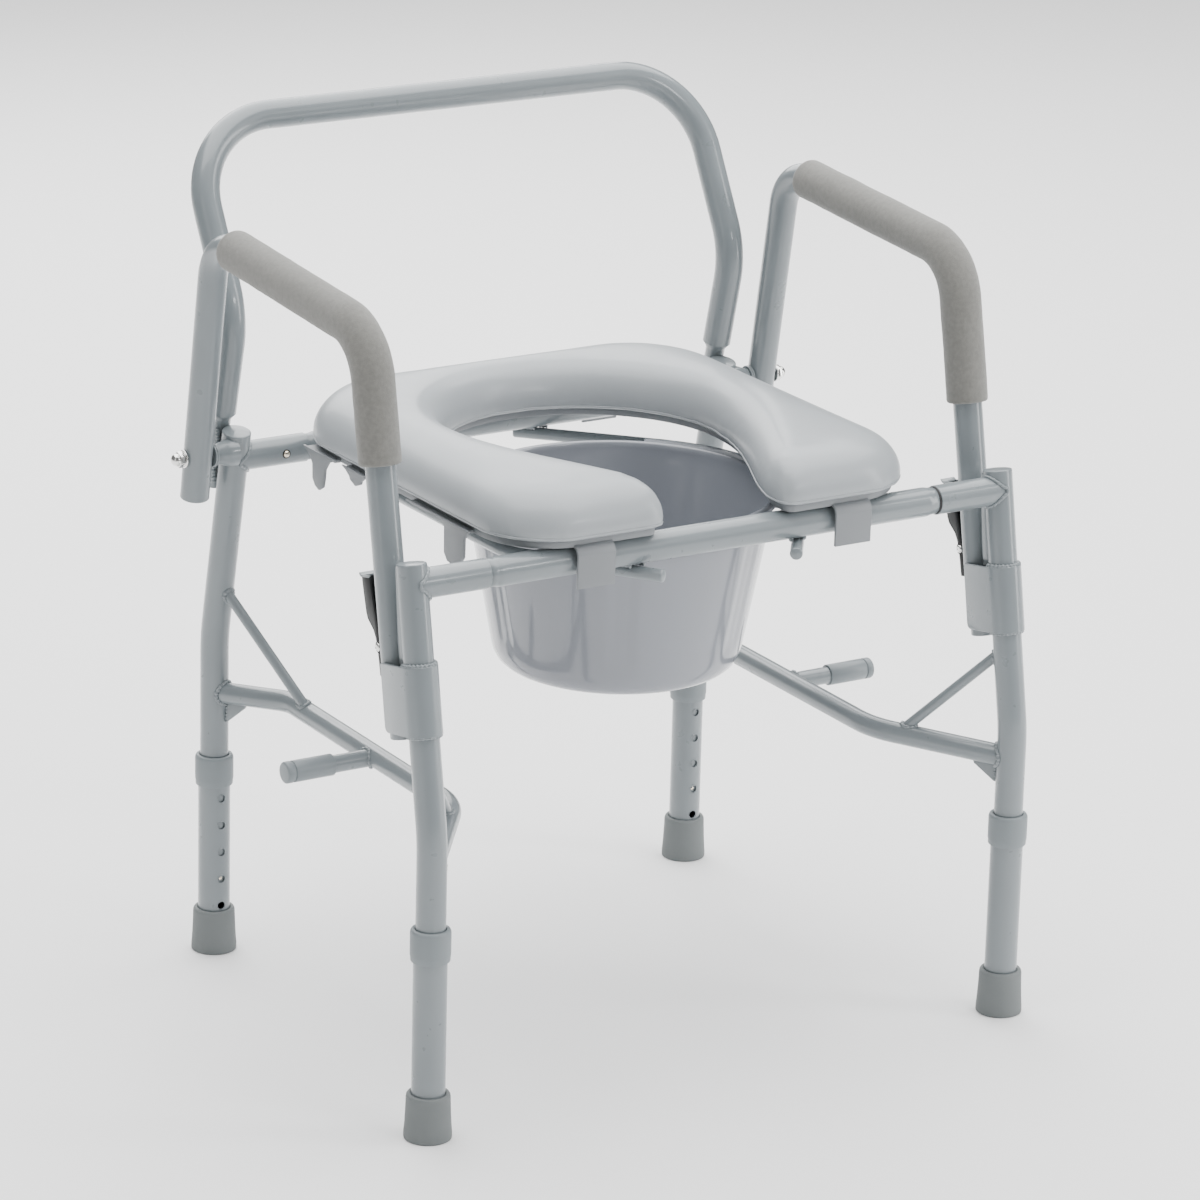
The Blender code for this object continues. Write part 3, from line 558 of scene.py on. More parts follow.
# ---------------------------------------------------------------- cross rails and their stubs
def build_rail(name, y, joint):
    """A cross rail whose necked ends plug into the stubs; the front one has a ring of painted shade at its
    joints.
    """
    neck = joint - 0.6
    half = [(12.7, neck - 12), (12.6, neck - 10), (12.1, neck - 7.5), (11.7, neck - 5.5), (11.6, neck - 1.0)]
    half += [(10.6, neck), (10.4, neck + 0.4), (10.4, joint + 38), (9.8, joint + 39)]
    profile = [(r, -s) for r, s in reversed(half)] + half
    Piece().lathe(profile, (0, y, RAIL_Z), (1, 0, 0), 48).make(
        "rail_" + name, "frame_paint", "frame", [name + "_rail"], angle=50)
    if name == "front":
        # The front rail's dark ring at each stub mouth is painted shade for the gap at the joint.
        ring = [(9.6, joint - 2.0), (12.0, joint - 2.0), (12.0, joint + 0.1), (9.6, joint + 0.1)]
        Piece().lathe(ring, (0, y, RAIL_Z), (1, 0, 0), 48, closed=True).make(
            "rail_gap_shade_ring", "painted_gap_shade", "frame")


def build_stub(end, tag, side, leg_x, y, joint, facing, leg_y, leg_up):
    """The short tube welded to a leg that takes a cross rail, with its weld and snap button."""
    start = Vector((side * joint, y, RAIL_Z))
    stop = Vector((side * leg_x, y, RAIL_Z))
    path = [start, start.lerp(stop, 0.3), start.lerp(stop, 0.7), stop]
    x = side * (joint + 24.0)
    hole = ((x, y, RAIL_Z), (x, y + facing * 20, RAIL_Z), 3.5)
    stub = Piece().tube(path, TUBE_R, start="open", end="cap", depth=45.0, wall=2.0, sides=48)
    stub.make("stub_%s_%s" % (end, tag), "frame_paint", "frame", ["%s_stub_%s" % (end, tag)], cutters=[hole])
    leg = (side * leg_x, leg_y(RAIL_Z), RAIL_Z)
    line = joint_line(start, stop - start, TUBE_R + 0.6, leg, leg_up, TUBE_R + 0.4)
    weld = Piece().bead(line, 1.5, ripple=0.22, pitch=4.2)
    weld.make("weld_stub_%s_%s" % (end, tag), "frame_paint", "frame", angle=80)
    knob = [(3.0, 4.0), (3.0, 12.4), (2.8, 13.4), (2.2, 14.1), (1.2, 14.7), (0, 14.9)]
    body = "%s_rail_button_%s" % (end, tag)
    Piece().lathe(knob, (x, y, RAIL_Z), (0, facing, 0), 32).make(
        "snap_%s_%s" % (end, tag), "button_brass", body, ["%s_button_%s" % (end, tag)])
    # A thin near-black ring round the snap button's hole: painted shade in the hole's clearance.
    ring = joint_line((x, y, RAIL_Z), (0, facing, 0), 3.55, (x, y, RAIL_Z), (1, 0, 0), 12.65, -1)
    Piece().bead(ring, 0.4, ripple=0.0, pitch=2.0, sides=8).make(
        "snap_ring_%s_%s" % (end, tag), "painted_gap_shade", "frame")


# ---------------------------------------------------------------- side braces and pegs
def build_brace(tag, side):
    """The bent side brace with its two struts, welds and gussets, and the sleeved stop peg."""
    rear = Vector((side * REAR_X, REAR_Y, BRACE_ENDS[0]))
    rear_bend = Vector((side * BRACE_IN_X, *BRACE_BENDS[0]))
    front_bend = Vector((side * BRACE_IN_X, *BRACE_BENDS[1]))
    front = Vector((side * FRONT_X, FRONT_Y, BRACE_ENDS[1]))
    path = rounded([rear, rear_bend, front_bend, front], [45.0, 60.0], 12)
    brace = Piece().tube(path, BRACE_R, sides=40)
    rear_strut = (
        Vector((side * REAR_X, 445.5, REAR_STRUT_TOP_Z)), Vector((side * BRACE_IN_X, 350.0, 249.0)))
    front_strut = (
        Vector((side * FRONT_X, 20.5, FRONT_STRUT_TOP_Z)), Vector((side * 226.0, 84.0, 243.0)))
    for top, foot in (rear_strut, front_strut):
        brace.tube(bar(top, foot), STRUT_R, sides=28)
    along_brace = front_bend - rear_bend
    rear_run, front_run = rear - rear_bend, front - front_bend
    up = (0, 0, 1)
    weld_r, strut_weld_r = BRACE_R + 0.5, 4.9
    welds = Piece()
    welds.bead(joint_line(rear_bend, rear_run, weld_r, rear, up, TUBE_R + 0.4), 1.9, 0.35)
    welds.bead(joint_line(front_bend, front_run, weld_r, front, up, TUBE_R + 0.4), 1.9, 0.35)
    rear_leg = (side * REAR_X, rear_leg_y(REAR_STRUT_TOP_Z), REAR_STRUT_TOP_Z)
    front_leg = (side * FRONT_X, front_leg_y(FRONT_STRUT_TOP_Z), FRONT_STRUT_TOP_Z)
    ends = (
        (rear_strut, rear_leg, REAR_UP, rear_bend, along_brace),
        (front_strut, front_leg, LEAN_UP, front_bend, front_run),
    )
    for (top, foot), leg, leg_up, bend, run in ends:
        welds.bead(joint_line(foot, top - foot, strut_weld_r, leg, leg_up, TUBE_R + 0.2), 1.9, 0.35)
        welds.bead(joint_line(top, foot - top, strut_weld_r, bend, run, BRACE_R + 0.2), 1.7, 0.35)
    peg = Vector((side * (BRACE_IN_X + 1.0), PEG_Y, PEG_Z))
    spot = rear_bend.lerp(front_bend, (388.0 - PEG_Y) / 285.0)
    outside = peg + Vector((side * 40, 0, 0))
    welds.bead(joint_line(outside, (-side, 0, 0), 8.2, spot, along_brace, BRACE_R + 0.3), 1.7, 0.3)
    brace.make("brace_" + tag, "frame_paint", "frame", ["side_brace_" + tag], angle=40)
    welds.make("brace_welds_" + tag, "frame_paint", "frame", angle=80)
    gussets, seams = Piece(), Piece()
    for leg_end, bend, deep in ((rear, rear_bend, -25.5), (front, front_bend, -23.5)):
        out = bend - leg_end
        out.z = 0
        out.normalize()
        across = Vector((0, 0, 1)).cross(out)
        outline = [(9, -5), (34, -7.0), (33, -9.5), (14.5, deep), (9, deep - 0.5)]
        gussets.plate(outline, (leg_end, out, (0, 0, 1), across), -1.6, 1.6)
        line = [leg_end + out * 13.4 + Vector((0, 0, z)) for z in (-11.0, -18.0, deep + 1.0)]
        seams.bead(line, 2.0, 0.4, closed=False)
    gussets.make("gussets_" + tag, "frame_paint", "frame", bevel=0.6)
    seams.make("gusset_welds_" + tag, "frame_paint", "frame", angle=80)

    Piece().tube(bar(peg, (side * 296.5, PEG_Y, PEG_Z)), 7.75, sides=40).make(
        "peg_" + tag, "frame_paint", "frame", ["stop_peg_" + tag])
    sleeve = [
        (7.9, 254.0), (9.2, 254.0), (9.5, 254.4), (9.5, 291.4), (9.3, 291.9), (8.7, 292.0), (8.7, 293.2),
        (9.3, 293.3), (9.5, 293.8), (9.5, 298.4), (9.2, 299.3), (8.5, 299.9), (7.4, 300.0), (0, 300.2),
    ]
    Piece().lathe(sleeve, (0, PEG_Y, PEG_Z), (side, 0, 0), 48).make(
        "sleeve_" + tag, "sleeve_plastic", "frame", ["peg_sleeve_" + tag], angle=40)


# ---------------------------------------------------------------- arm latch on the front leg
def build_latch_seat(tag, side):
    """The channel and the open-backed socket on the front leg that take the arm's lower end."""
    low, high = CRADLE_Z
    loops = []
    for k in range(9):
        z = low + (high - low) * k / 8
        y = front_leg_y(z)
        back = 20.0 - 5.0 * max(0.0, (k - 2) / 6)
        outline = [(-7, 10), (7, 10), (7, back), (5.4, back), (5.4, 14.6)]
        outline += [(-5.4, 14.6), (-5.4, back), (-7, back)]
        loops.append([Vector((side * FRONT_X + a, y, z)) + LEAN_BACK * b for a, b in outline])
    Piece().loops(loops).make(
        "cradle_" + tag, "frame_paint", "frame", ["arm_cradle_" + tag], bevel=0.45, angle=30)

    inner, outer = TUBE_R + 0.5, TUBE_R + 3.0
    low, high = SOCKET_Z
    length = (high - low) * LEAN
    foot = Vector((side * FRONT_X, front_leg_y(low), low))
    around = [math.pi * k / 24 for k in range(25)]
    corner = [
        (0.0, 5.0), (0.6, 3.0), (1.6, 1.5), (3.2, 0.4), (5.0, 0.0), (length - 2.5, 0.0), (length - 0.9, 0.7),
        (length, 2.4),
    ]
    loops = []
    for h, short in corner:
        rear = SOCKET_BACK - short
        wrap = [(outer * math.cos(t), -outer * math.sin(t)) for t in around]
        wrap += [(-outer, rear), (-inner, rear)]
        wrap += [(-inner * math.cos(t), -inner * math.sin(t)) for t in around]
        wrap += [(inner, rear), (outer, rear)]
        base = foot + LEAN_UP * h
        loops.append([base + Vector((a, 0, 0)) + LEAN_BACK * b for a, b in wrap])
    Piece().loops(loops).make(
        "socket_" + tag, "frame_paint", "frame", ["arm_socket_" + tag], bevel=0.5, angle=50)
    welds = Piece()
    for z, size in ((low - 0.5, 1.5), (high + 0.5, 1.9)):
        centre = Vector((side * FRONT_X, front_leg_y(z), z))
        line = []
        for k in range(25):
            t = math.pi * (-0.08 + 1.16 * k / 24)
            line.append(centre + Vector((1, 0, 0)) * 13.5 * math.cos(t) - LEAN_BACK * 13.5 * math.sin(t))
        welds.bead(line, size, 0.4, closed=False)
    welds.make("latch_welds_" + tag, "frame_paint", "frame", angle=80)


# ---------------------------------------------------------------- swinging arms
def build_arm(tag, side):
    """The swinging arm: its tube and the plug in its lower end, then its pad and latch lever."""
    x = side * FRONT_X
    body = "arm_" + tag
    slope = (PIVOT_Y - ARM_REAR[0]) / (PIVOT_Z - ARM_REAR[1])
    corners = [
        (x, PIVOT_Y + slope * (ARM_ENDS[0] - PIVOT_Z), ARM_ENDS[0]), (x, *ARM_REAR), (x, *ARM_FRONT),
        (x, arm_leg_y(ARM_ENDS[1]), ARM_ENDS[1]),
    ]
    path = rounded(corners, [38.0, 50.0], 18)
    Piece().tube(path, TUBE_R, end="open", rise=0.6, bevel=1.2, sides=48).make(
        "arm_bar_" + tag, "frame_paint", body, ["arm_tube_" + tag])

    low = 334.6
    plug = [
        (8.4, 2.0), (8.6, 0.4), (9.9, 0.0), (10.3, 0.5), (10.4, 22.0), (11.1, 23.4), (11.1, 40.0),
        (8.4, 40.0),
    ]
    Piece().lathe(plug, (x, arm_leg_y(low), low), ARM_UP, 48, closed=True).make(
        "arm_plug_" + tag, "frame_paint", body, angle=40)
    build_pad(tag, x, body)
    build_lever(tag, x, body)


def build_pad(tag, x, body):
    """The foam grip: a sleeve round the arm, open at both ends, with a slightly uneven skin."""
    low = PAD_LOW[tag]
    start = (x, PAD_START_Y, ARM_REAR[1] - 2.2)
    path = rounded([start, (x, *ARM_FRONT), (x, arm_leg_y(low), low)], [PAD_BEND_R], 24)
    centres, frames = transport(resample(path, 3.0, False))
    last = len(centres) - 1
    sides = 56

    def ring(i, radius, shift):
        c, (u, v) = centres[i], frames[i]
        return circle(c + u.cross(v) * shift, u, v, radius, sides)

    mouth = [(12.9, 6.0), (12.9, 0.6), (13.6, 0.1), (15.2, 0.0), (16.6, 0.35), (17.5, 1.1), (17.9, 2.2)]
    loops = [ring(0, r, s) for r, s in mouth]
    for c, (u, v) in zip(centres[1:last], frames[1:last]):
        loop = []
        for k in range(sides):
            t = 2 * math.pi * k / sides
            d = u * math.cos(t) + v * math.sin(t)
            p = c + d * PAD_R
            swell = 0.30 * noise.noise(p * 0.035) + 0.16 * noise.noise(p * 0.12)
            loop.append(c + d * (PAD_R + swell))
        loops.append(loop)
    foot = [(17.9, -2.2), (17.5, -1.1), (16.6, -0.35), (15.2, 0.0), (13.6, -0.1), (12.9, -0.6), (12.9, -6.0)]
    loops += [ring(last, r, s) for r, s in foot]
    pad = Piece().loops(loops, caps=False)
    pad = pad.make("foam_" + tag, "arm_foam", body, ["arm_pad_" + tag], angle=60)


def build_lever(tag, x, body):
    """The latch lever behind the arm, its ear and its rivet, with painted highlight in light paint along the
    lever's top edges and rings of painted shade under the rivet heads.
    """
    base = Vector((x, arm_leg_y(RIVET_Z), RIVET_Z))
    across = Vector((1, 0, 0))
    pivot = base + ARM_BACK * RIVET_BACK
    place = (base, ARM_BACK, ARM_UP, across)
    lever = "lever_" + tag
    spine = [
        (16.9, -24.0), (18.2, -24.0), (18.6, -10.0), (19.3, 1.0), (21.0, 8.0), (23.4, 13.5), (27.6, 18.0),
        (31.4, 22.0), (33.2, 27.0), (34.6, 40.0), (36.0, 58.0), (34.4, 58.0), (33.0, 40.0), (31.6, 27.6),
        (29.8, 23.0), (26.4, 19.4), (22.1, 15.0), (19.6, 8.6), (17.9, 1.4), (17.2, -10.0),
    ]
    grip = Piece().plate(spine, place, -6.6, 6.6)
    cheek = [
        (13.2, -24.0), (17.8, -24.0), (18.2, -10.0), (18.8, 1.0), (20.4, 8.2), (22.9, 14.0), (27.2, 18.6),
        (30.9, 22.6), (32.6, 27.2), (34.0, 40.0), (35.4, 58.0), (22.6, 58.0), (21.8, 46.0), (13.8, 7.0),
    ]
    for a, b in ((-6.6, -5.0), (5.0, 6.6)):
        grip.plate(cheek, place, a, b)
    grip.make("lever_grip_" + tag, "lever_paint", lever, ["latch_lever_" + tag], bevel=0.45, angle=30)
    # The lip and the thin strips along the lever's top edges are in the light frame paint: painted highlight
    # on the dark lever's edges; the flared lip itself is real.
    lip = [
        (34.2, 56.4), (36.4, 56.6), (38.2, 58.0), (39.2, 59.6), (38.6, 60.2), (37.4, 59.4), (35.8, 58.4),
        (34.2, 58.2),
    ]
    edge = Piece().plate(lip, place, -7.2, 7.2)
    rail = [(22.6, 56.6), (35.6, 56.6), (35.6, 58.3), (22.6, 58.3)]
    edge.plate(rail, place, -7.0, -5.2)
    edge.plate(rail, place, 5.2, 7.0)
    edge.make("lever_lip_highlight_" + tag, "frame_paint", lever, bevel=0.35, angle=30)
    ear = [(11.8, -6.0), (17.0, -5.0), (19.6, -3.2), (20.4, 0.0), (19.6, 3.2), (17.0, 5.0), (11.8, 6.0)]
    Piece().plate(ear, place, -3.9, 3.9).make("lever_ear_" + tag, "frame_paint", body, bevel=0.5, angle=30)
    head = [(3.4, 6.8), (3.6, 7.0), (3.6, 7.6), (3.2, 8.2), (2.2, 8.7), (1.9, 8.3), (0, 8.2)]
    pin = [(r, -h) for r, h in reversed(head)] + [(2.2, -6.8), (2.2, 6.8)] + head
    Piece().lathe(pin, pivot, across, 32).make("rivet_" + tag, "bolt_chrome", body, ["latch_rivet_" + tag])
    # Near-black rings under both rivet heads: painted shade under the heads.
    ring_profile = [(3.0, 6.5), (5.0, 6.5), (5.2, 6.7), (5.0, 7.0), (3.0, 7.0)]
    washers = Piece().lathe(ring_profile, pivot, across, 32, closed=True)
    washers.lathe(ring_profile, pivot, -across, 32, closed=True)
    washers.make("rivet_shade_rings_" + tag, "painted_gap_shade", body)


def build_pivot(tag, side):
    """The arm's pivot: cap nut outside, saddle and washers between the arm and the rear stub, and a
    near-black disc of painted shade in the gaps at the arm.
    """
    face = FRONT_X + TUBE_R + 0.3
    base = Vector((0, PIVOT_Y, PIVOT_Z))
    out = Vector((side, 0, 0))
    nut = Piece()
    flange = [
        (3.2, 252.0), (3.2, face), (7.6, face), (8.0, face + 0.4), (8.0, face + 1.1), (7.6, face + 1.5),
        (5.0, face + 1.5),
    ]
    nut.lathe(flange, base, out, 40)
    corners = [math.pi / 3 * k + 0.3 for k in range(6)]
    hexagon = [(math.cos(t) * 7.3, math.sin(t) * 7.3) for t in corners]
    nut.plate(hexagon, (base + out * (face + 1.5), (0, 1, 0), (0, 0, 1), out), 0.0, 5.0)
    dome = [(5.6, face + 6.0), (5.6, face + 7.4)]
    for k in range(1, 9):
        t = math.pi / 2 * k / 8
        dome.append((5.6 * math.cos(t), face + 7.4 + 5.1 * math.sin(t)))
    nut.lathe(dome, base, out, 40)
    nut.make("pivot_nut_" + tag, "bolt_chrome", "frame", ["pivot_bolt_" + tag], bevel=0.4, angle=35)
    inner, outer = REAR_X + 4.0, FRONT_X - TUBE_R - 0.3
    saddle = [
        (3.5, inner), (12.2, inner), (12.0, 262.0), (11.0, 265.0), (9.6, 268.5), (8.7, outer - 4.2),
        (8.5, outer - 3.6), (3.5, outer - 3.6),
    ]
    Piece().lathe(saddle, base, out, 48, closed=True).make(
        "pivot_saddle_" + tag, "frame_paint", "frame", ["pivot_spacer_" + tag], angle=40)
    washer = [
        (3.5, outer - 3.0), (10.2, outer - 3.0), (10.4, outer - 2.7), (10.4, outer - 1.9),
        (10.2, outer - 1.6), (3.5, outer - 1.6),
    ]
    rings = Piece().lathe(washer, base, out, 48, closed=True)
    rings.lathe([(r, h + 1.8) for r, h in washer], base, out, 48, closed=True)
    rings.make("pivot_washers_" + tag, "frame_paint", "frame")
    # A near-black disc in the gaps between saddle, washers and arm: painted shade.
    gap = [(3.5, outer - 3.8), (8.0, outer - 3.8), (8.0, outer), (3.5, outer)]
    Piece().lathe(gap, base, out, 32, closed=True).make("pivot_gap_shade_" + tag, "painted_gap_shade", "frame")


# ---------------------------------------------------------------- back bar
def build_back():
    """The lift-off back bar and the posts that it drops over."""
    left = [(-BACK_X, *BACK_JOINT), (-BACK_X, *BACK_KINK), (-BACK_X, *BACK_TOP)]
    right = [(-x, y, z) for x, y, z in reversed(left)]
    path = rounded(left + right, [70, 78, 78, 70], 20)
    Piece().tube(path, TUBE_R, start="open", end="open", depth=60, sides=48).make(
        "back_hoop", "frame_paint", "backrest", ["back_bar"])
    for tag, side in SIDES:
        low, neck, top = POST_Z
        base = Vector((side * BACK_X, back_line_y(low), low))
        step, height = (neck - low) / BACK_AXIS.z, (top - low) / BACK_AXIS.z
        post = [
            (0, 2.0), (7.4, 2.0), (7.4, 0), (8.4, 0), (8.8, 0.5), (8.8, step), (9.4, step + 2),
            (10.5, step + 3.5), (10.5, height - 1), (9.6, height), (0, height),
        ]
        Piece().lathe(post, base, BACK_AXIS, 48).make(
            "post_" + tag, "frame_paint", "frame", ["back_post_" + tag], angle=45)
        welds = Piece()
        for z in (452.0, 486.0):
            spot = Vector((side * (BACK_X - 1.5), (back_line_y(z) + rear_leg_y(z)) / 2 + 2.0, z))
            for off in (-7.0, 7.0):
                line = [spot + Vector((off, 0, s)) for s in (-8.0, 0.0, 8.0)]
                welds.bead(line, 2.2, 0.3, closed=False)
        welds.make("post_welds_" + tag, "frame_paint", "frame", angle=80)


# ---------------------------------------------------------------- seat
def arc(cx, cy, radius, start, end, steps):
    """Points along part of a circle, its ends in degrees."""
    angles = [math.radians(start + (end - start) * k / steps) for k in range(steps + 1)]
    return [(cx + radius * math.cos(t), cy + radius * math.sin(t)) for t in angles]


def half_opening(y):
    """Half the opening's width, from the mouth back to its widest."""
    t = min(1.0, max(0.0, (y - 45.0) / (HOLE_Y - 45.0)))
    return MOUTH_HALF + (HOLE_HALF - MOUTH_HALF) * math.sin(math.pi / 2 * t) ** 1.35


def seat_outline(outer, inner=None, rear_in=None):
    """The open-front seat shape, drawn in from its outer edge, its opening and its back."""
    inner = outer if inner is None else inner
    rear_in = outer if rear_in is None else rear_in
    half, mouth = SEAT_HALF - outer, MOUTH_HALF + inner
    front, rear = SEAT_FRONT_Y + outer, SEAT_REAR_Y - rear_in
    lip = max(MOUTH_LIP - (outer + inner) / 2, 4.0)
    shoulder, heel = 70.0 - outer, 92.0 - (outer + rear_in) / 2
    side = arc(mouth + lip, front + lip, lip, 180, 270, 10)
    side += arc(half - shoulder, front + shoulder, shoulder, 270, 360, 14)
    side += arc(half - heel, rear - heel, heel, 0, 90, 16)
    rim = []
    for k in range(30):
        t = math.radians(90 - 3 * k)
        rim.append(((HOLE_HALF + inner) * math.cos(t), HOLE_Y + (HOLE_REACH + inner) * math.sin(t)))
    low = front + lip + 5.0
    for k in range(26):
        y = 246.0 + (low - 246.0) * k / 25
        rim.append((half_opening(y) + inner, y))
    right = rim[1:] + side
    left = [(-x, y) for x, y in reversed(right)]
    return right + left + [rim[0]]


def shaped(obj, *kinds):
    """Adds modifiers given as (type, settings) and bakes them."""
    for kind, settings in kinds:
        mod = obj.modifiers.new(kind.lower(), kind)
        for key, value in settings.items():
            setattr(mod, key, value)
    bake(obj)


def inflate(obj, pin_below, limit, frames=20):
    """Lets air pressure swell the cover while its base is held."""
    rest = [v.co.copy() for v in obj.data.vertices]
    held = obj.vertex_groups.new(name="held")
    held.add([i for i, co in enumerate(rest) if co.z < pin_below], 1.0, "REPLACE")
    cloth = obj.modifiers.new("cloth", "CLOTH")
    cloth.settings.use_pressure = True
    cloth.settings.uniform_pressure_force = 4.0
    cloth.settings.vertex_group_mass = "held"
    cloth.settings.effector_weights.gravity = 0.0
    cloth.settings.quality = 5
    cloth.settings.tension_stiffness = 40
    cloth.settings.compression_stiffness = 40
    cloth.settings.shear_stiffness = 20
    cloth.settings.bending_stiffness = 2
    cloth.point_cache.frame_start = 1
    cloth.point_cache.frame_end = frames
    scene = bpy.context.scene
    for f in range(1, frames + 1):
        scene.frame_set(f)
    seen = bpy.context.evaluated_depsgraph_get()
    moved = [v.co.copy() for v in obj.evaluated_get(seen).data.vertices]
    obj.modifiers.clear()
    scene.frame_set(1)
    for v, was, now in zip(obj.data.vertices, rest, moved):
        step = now - was
        if step.length > limit:
            step = step.normalized() * limit
        v.co = was + step
    obj.data.update()


def build_cushion():
    """The padded seat: a lofted dome, remeshed, swelled by the cloth simulation, and piped."""
    loops = []
    for k in range(11):
        t = math.pi / 2 * k / 10
        draw = 1 - math.cos(t)
        tuck = 2.4 * max(0.0, 1 - t / 0.5) ** 2 - 0.8
        z = CUSHION_LOW + CUSHION_HEIGHT * math.sin(t)
        outline = seat_outline(tuck + 45.0 * draw, tuck + 29.0 * draw, tuck + 30.0 * draw)
        loops.append([(x, y, z) for x, y in outline])
    obj = object_from("cushion_cover", Piece().loops(loops))
    shaped(obj, ("REMESH", {"mode": "VOXEL", "voxel_size": 0.0045}))
    shaped(obj, ("SMOOTH", {"factor": 0.5, "iterations": 10}))
    inflate(obj, 0.4945, 0.0040)
    shaped(obj, ("SMOOTH", {"factor": 0.5, "iterations": 4}))
    shaped(obj, ("SUBSURF", {"levels": 1, "render_levels": 1}))
    for v in obj.data.vertices:
        v.co.z = min(v.co.z, 0.5365)
    finish_object(obj, "seat_vinyl", "seat", ["seat_cushion"], 80)
    line = resample([Vector((x, y, 491.6)) for x, y in seat_outline(0.0)], 3.0, True)
    mesh = obj.data
    cover = BVHTree.FromPolygons([v.co for v in mesh.vertices], [p.vertices for p in mesh.polygons])
    line = [cover.find_nearest(world(p))[0] / MM + Vector((0, Y_MID, 0)) for p in line]
    Piece().bead(line, 1.15, ripple=0.0, pitch=12.0).make("cushion_piping", "seat_vinyl", "seat", angle=80)


def build_board():
    """The seat's plastic underside, its rail clips and its side hooks."""
    Piece().plate(seat_outline(9.0), FLAT, *PAN_Z).make(
        "seat_pan", "board_plastic", "seat", ["seat_board"], bevel=0.8, angle=50)
    clips = Piece()
    for side in (-1, 1):
        for x0, x1, rail_y, facing in ((109.0, 145.0, FRONT_RAIL_Y, -1), (113.0, 149.0, REAR_RAIL_Y, 1)):
            gap = 3.2 if facing < 0 else 0.4
            face = rail_y + facing * (TUBE_R + gap)
            outline = [(rail_y - facing * 22.0, 482.9)]
            for k in range(7):
                t = math.radians(90 - 90 * k / 6)
                outline.append((face - facing * 6.4 * (1 - math.cos(t)), 476.5 + 6.4 * math.sin(t)))
            outline += [(face, 449.3), (face + facing * 2.6, 449.0), (face + facing * 2.8, 477.0)]
            for k in range(7):
                t = math.radians(90 * k / 6)
                outline.append((face + facing * (2.8 - 9 + 9 * math.cos(t)), 477.0 + 9.0 * math.sin(t)))
            outline.append((rail_y - facing * 22.0, 486.0))
            low, high = sorted((side * x0, side * x1))
            clips.plate(outline, UPRIGHT, low, high)
    clips.make("seat_clips", "board_plastic", "seat", bevel=0.6, angle=40)
    hooks = Piece()
    tongues = [
        [(96, 486.6), (99, 483), (103, 478), (103.5, 462), (108, 456), (122, 450.8), (130, 452),
         (135.5, 458), (136, 480), (140, 484.4), (199, 485.2), (201, 486.6)],
        [(262, 486.6), (272, 484), (277.4, 480), (278, 477.5), (287, 473.8), (296.5, 477.5),
         (297.5, 480), (304, 484), (312, 486.6)],
        [(322, 486.6), (334, 482), (340.5, 474), (342, 464), (344, 457), (351, 452.8), (358, 455.5),
         (362.6, 461), (363, 474), (368, 481), (380, 486.6)],
    ]
    for side in (-1, 1):
        low, high = sorted((side * 203.2, side * 206.0))
        for outline in tongues:
            hooks.plate(outline, UPRIGHT, low, high)
            a, b = outline[0][0] + 4, outline[-1][0] - 4
            near, far = sorted((side * 184.0, side * 204.0))
            hooks.plate([(near, a), (far, a), (far, b), (near, b)], FLAT, PAN_Z[0], PAN_Z[0] + 3.0)
    hooks.make("seat_hooks", "board_plastic", "seat", bevel=0.7, angle=35)


# ---------------------------------------------------------------- pail and rods
def build_pail():
    """The tapered pail with six shallow flutes, a rolled rim and two side wings."""
    outer = [
        (0, 314.0), (60, 314.0), (86, 314.2), (93, 315.2), (99, 317.8), (103.8, 322), (106.8, 327.5),
        (108.6, 334),
    ]
    for k in range(1, 27):
        t = k / 26
        outer.append((108.6 + 24.4 * t, 334 + 131.5 * t))
    outer += [(134.0, 466.0), (136.0, 466.3), (137.0, 467.1), (137.2, 470.2), (136.6, 472.2), (135.2, 473.2),
              (133.6, 473.3), (132.2, 472.6), (131.4, 471.0), (131.1, 467.6)]
    inner = []
    for k in range(25):
        t = k / 24
        inner.append((130.9 - 24.6 * t, 464.5 - 129.0 * t))
    inner += [(104.6, 329), (101.6, 323.5), (97.4, 319.6), (92, 317.4), (86, 316.8), (60, 316.8), (0, 316.8)]
    sides = 192
    loops = []
    for index, (r, z) in enumerate(outer + inner):
        loop = []
        for k in range(sides):
            t = 2 * math.pi * k / sides
            dent = 0.0
            if index < len(outer) and z < 465.6:
                local = (math.degrees(t) + 30.0) % 60.0 - 30.0
                span = 5.2 * 118.0 / max(r, 60)
                wide = min(1.0, max(0.0, (span - abs(local)) / 1.6 + 0.5))
                tall = min(1.0, max(0.0, (z - 338.0) / 12.0))
                dent = 1.1 * wide * wide * (3 - 2 * wide) * tall
            r2 = max(r - dent, 0.02)
            loop.append((r2 * math.cos(t), BUCKET_Y + r2 * math.sin(t), z))
        loops.append(loop)
    Piece().loops(loops).make("pail_shell", "pail_plastic", "pail", ["pail"], angle=40)
    wings = Piece()
    angles = [math.radians(-50 + 4 * k) for k in range(26)]
    for side in (-1, 1):
        curves = []
        for radius in (WING_OUT_R, WING_IN_R, WING_LIP_R):
            curves.append([(radius * math.cos(t) * side, BUCKET_Y + radius * math.sin(t)) for t in angles])
        out, near, back = curves
        wings.plate(out + near[::-1], FLAT, WING_TOP_Z - 2.8, WING_TOP_Z)
        wings.plate(out + back[::-1], FLAT, WING_TOP_Z - 14.6, WING_TOP_Z)
    wings.make("pail_wings", "pail_plastic", "pail", bevel=0.8, angle=40)


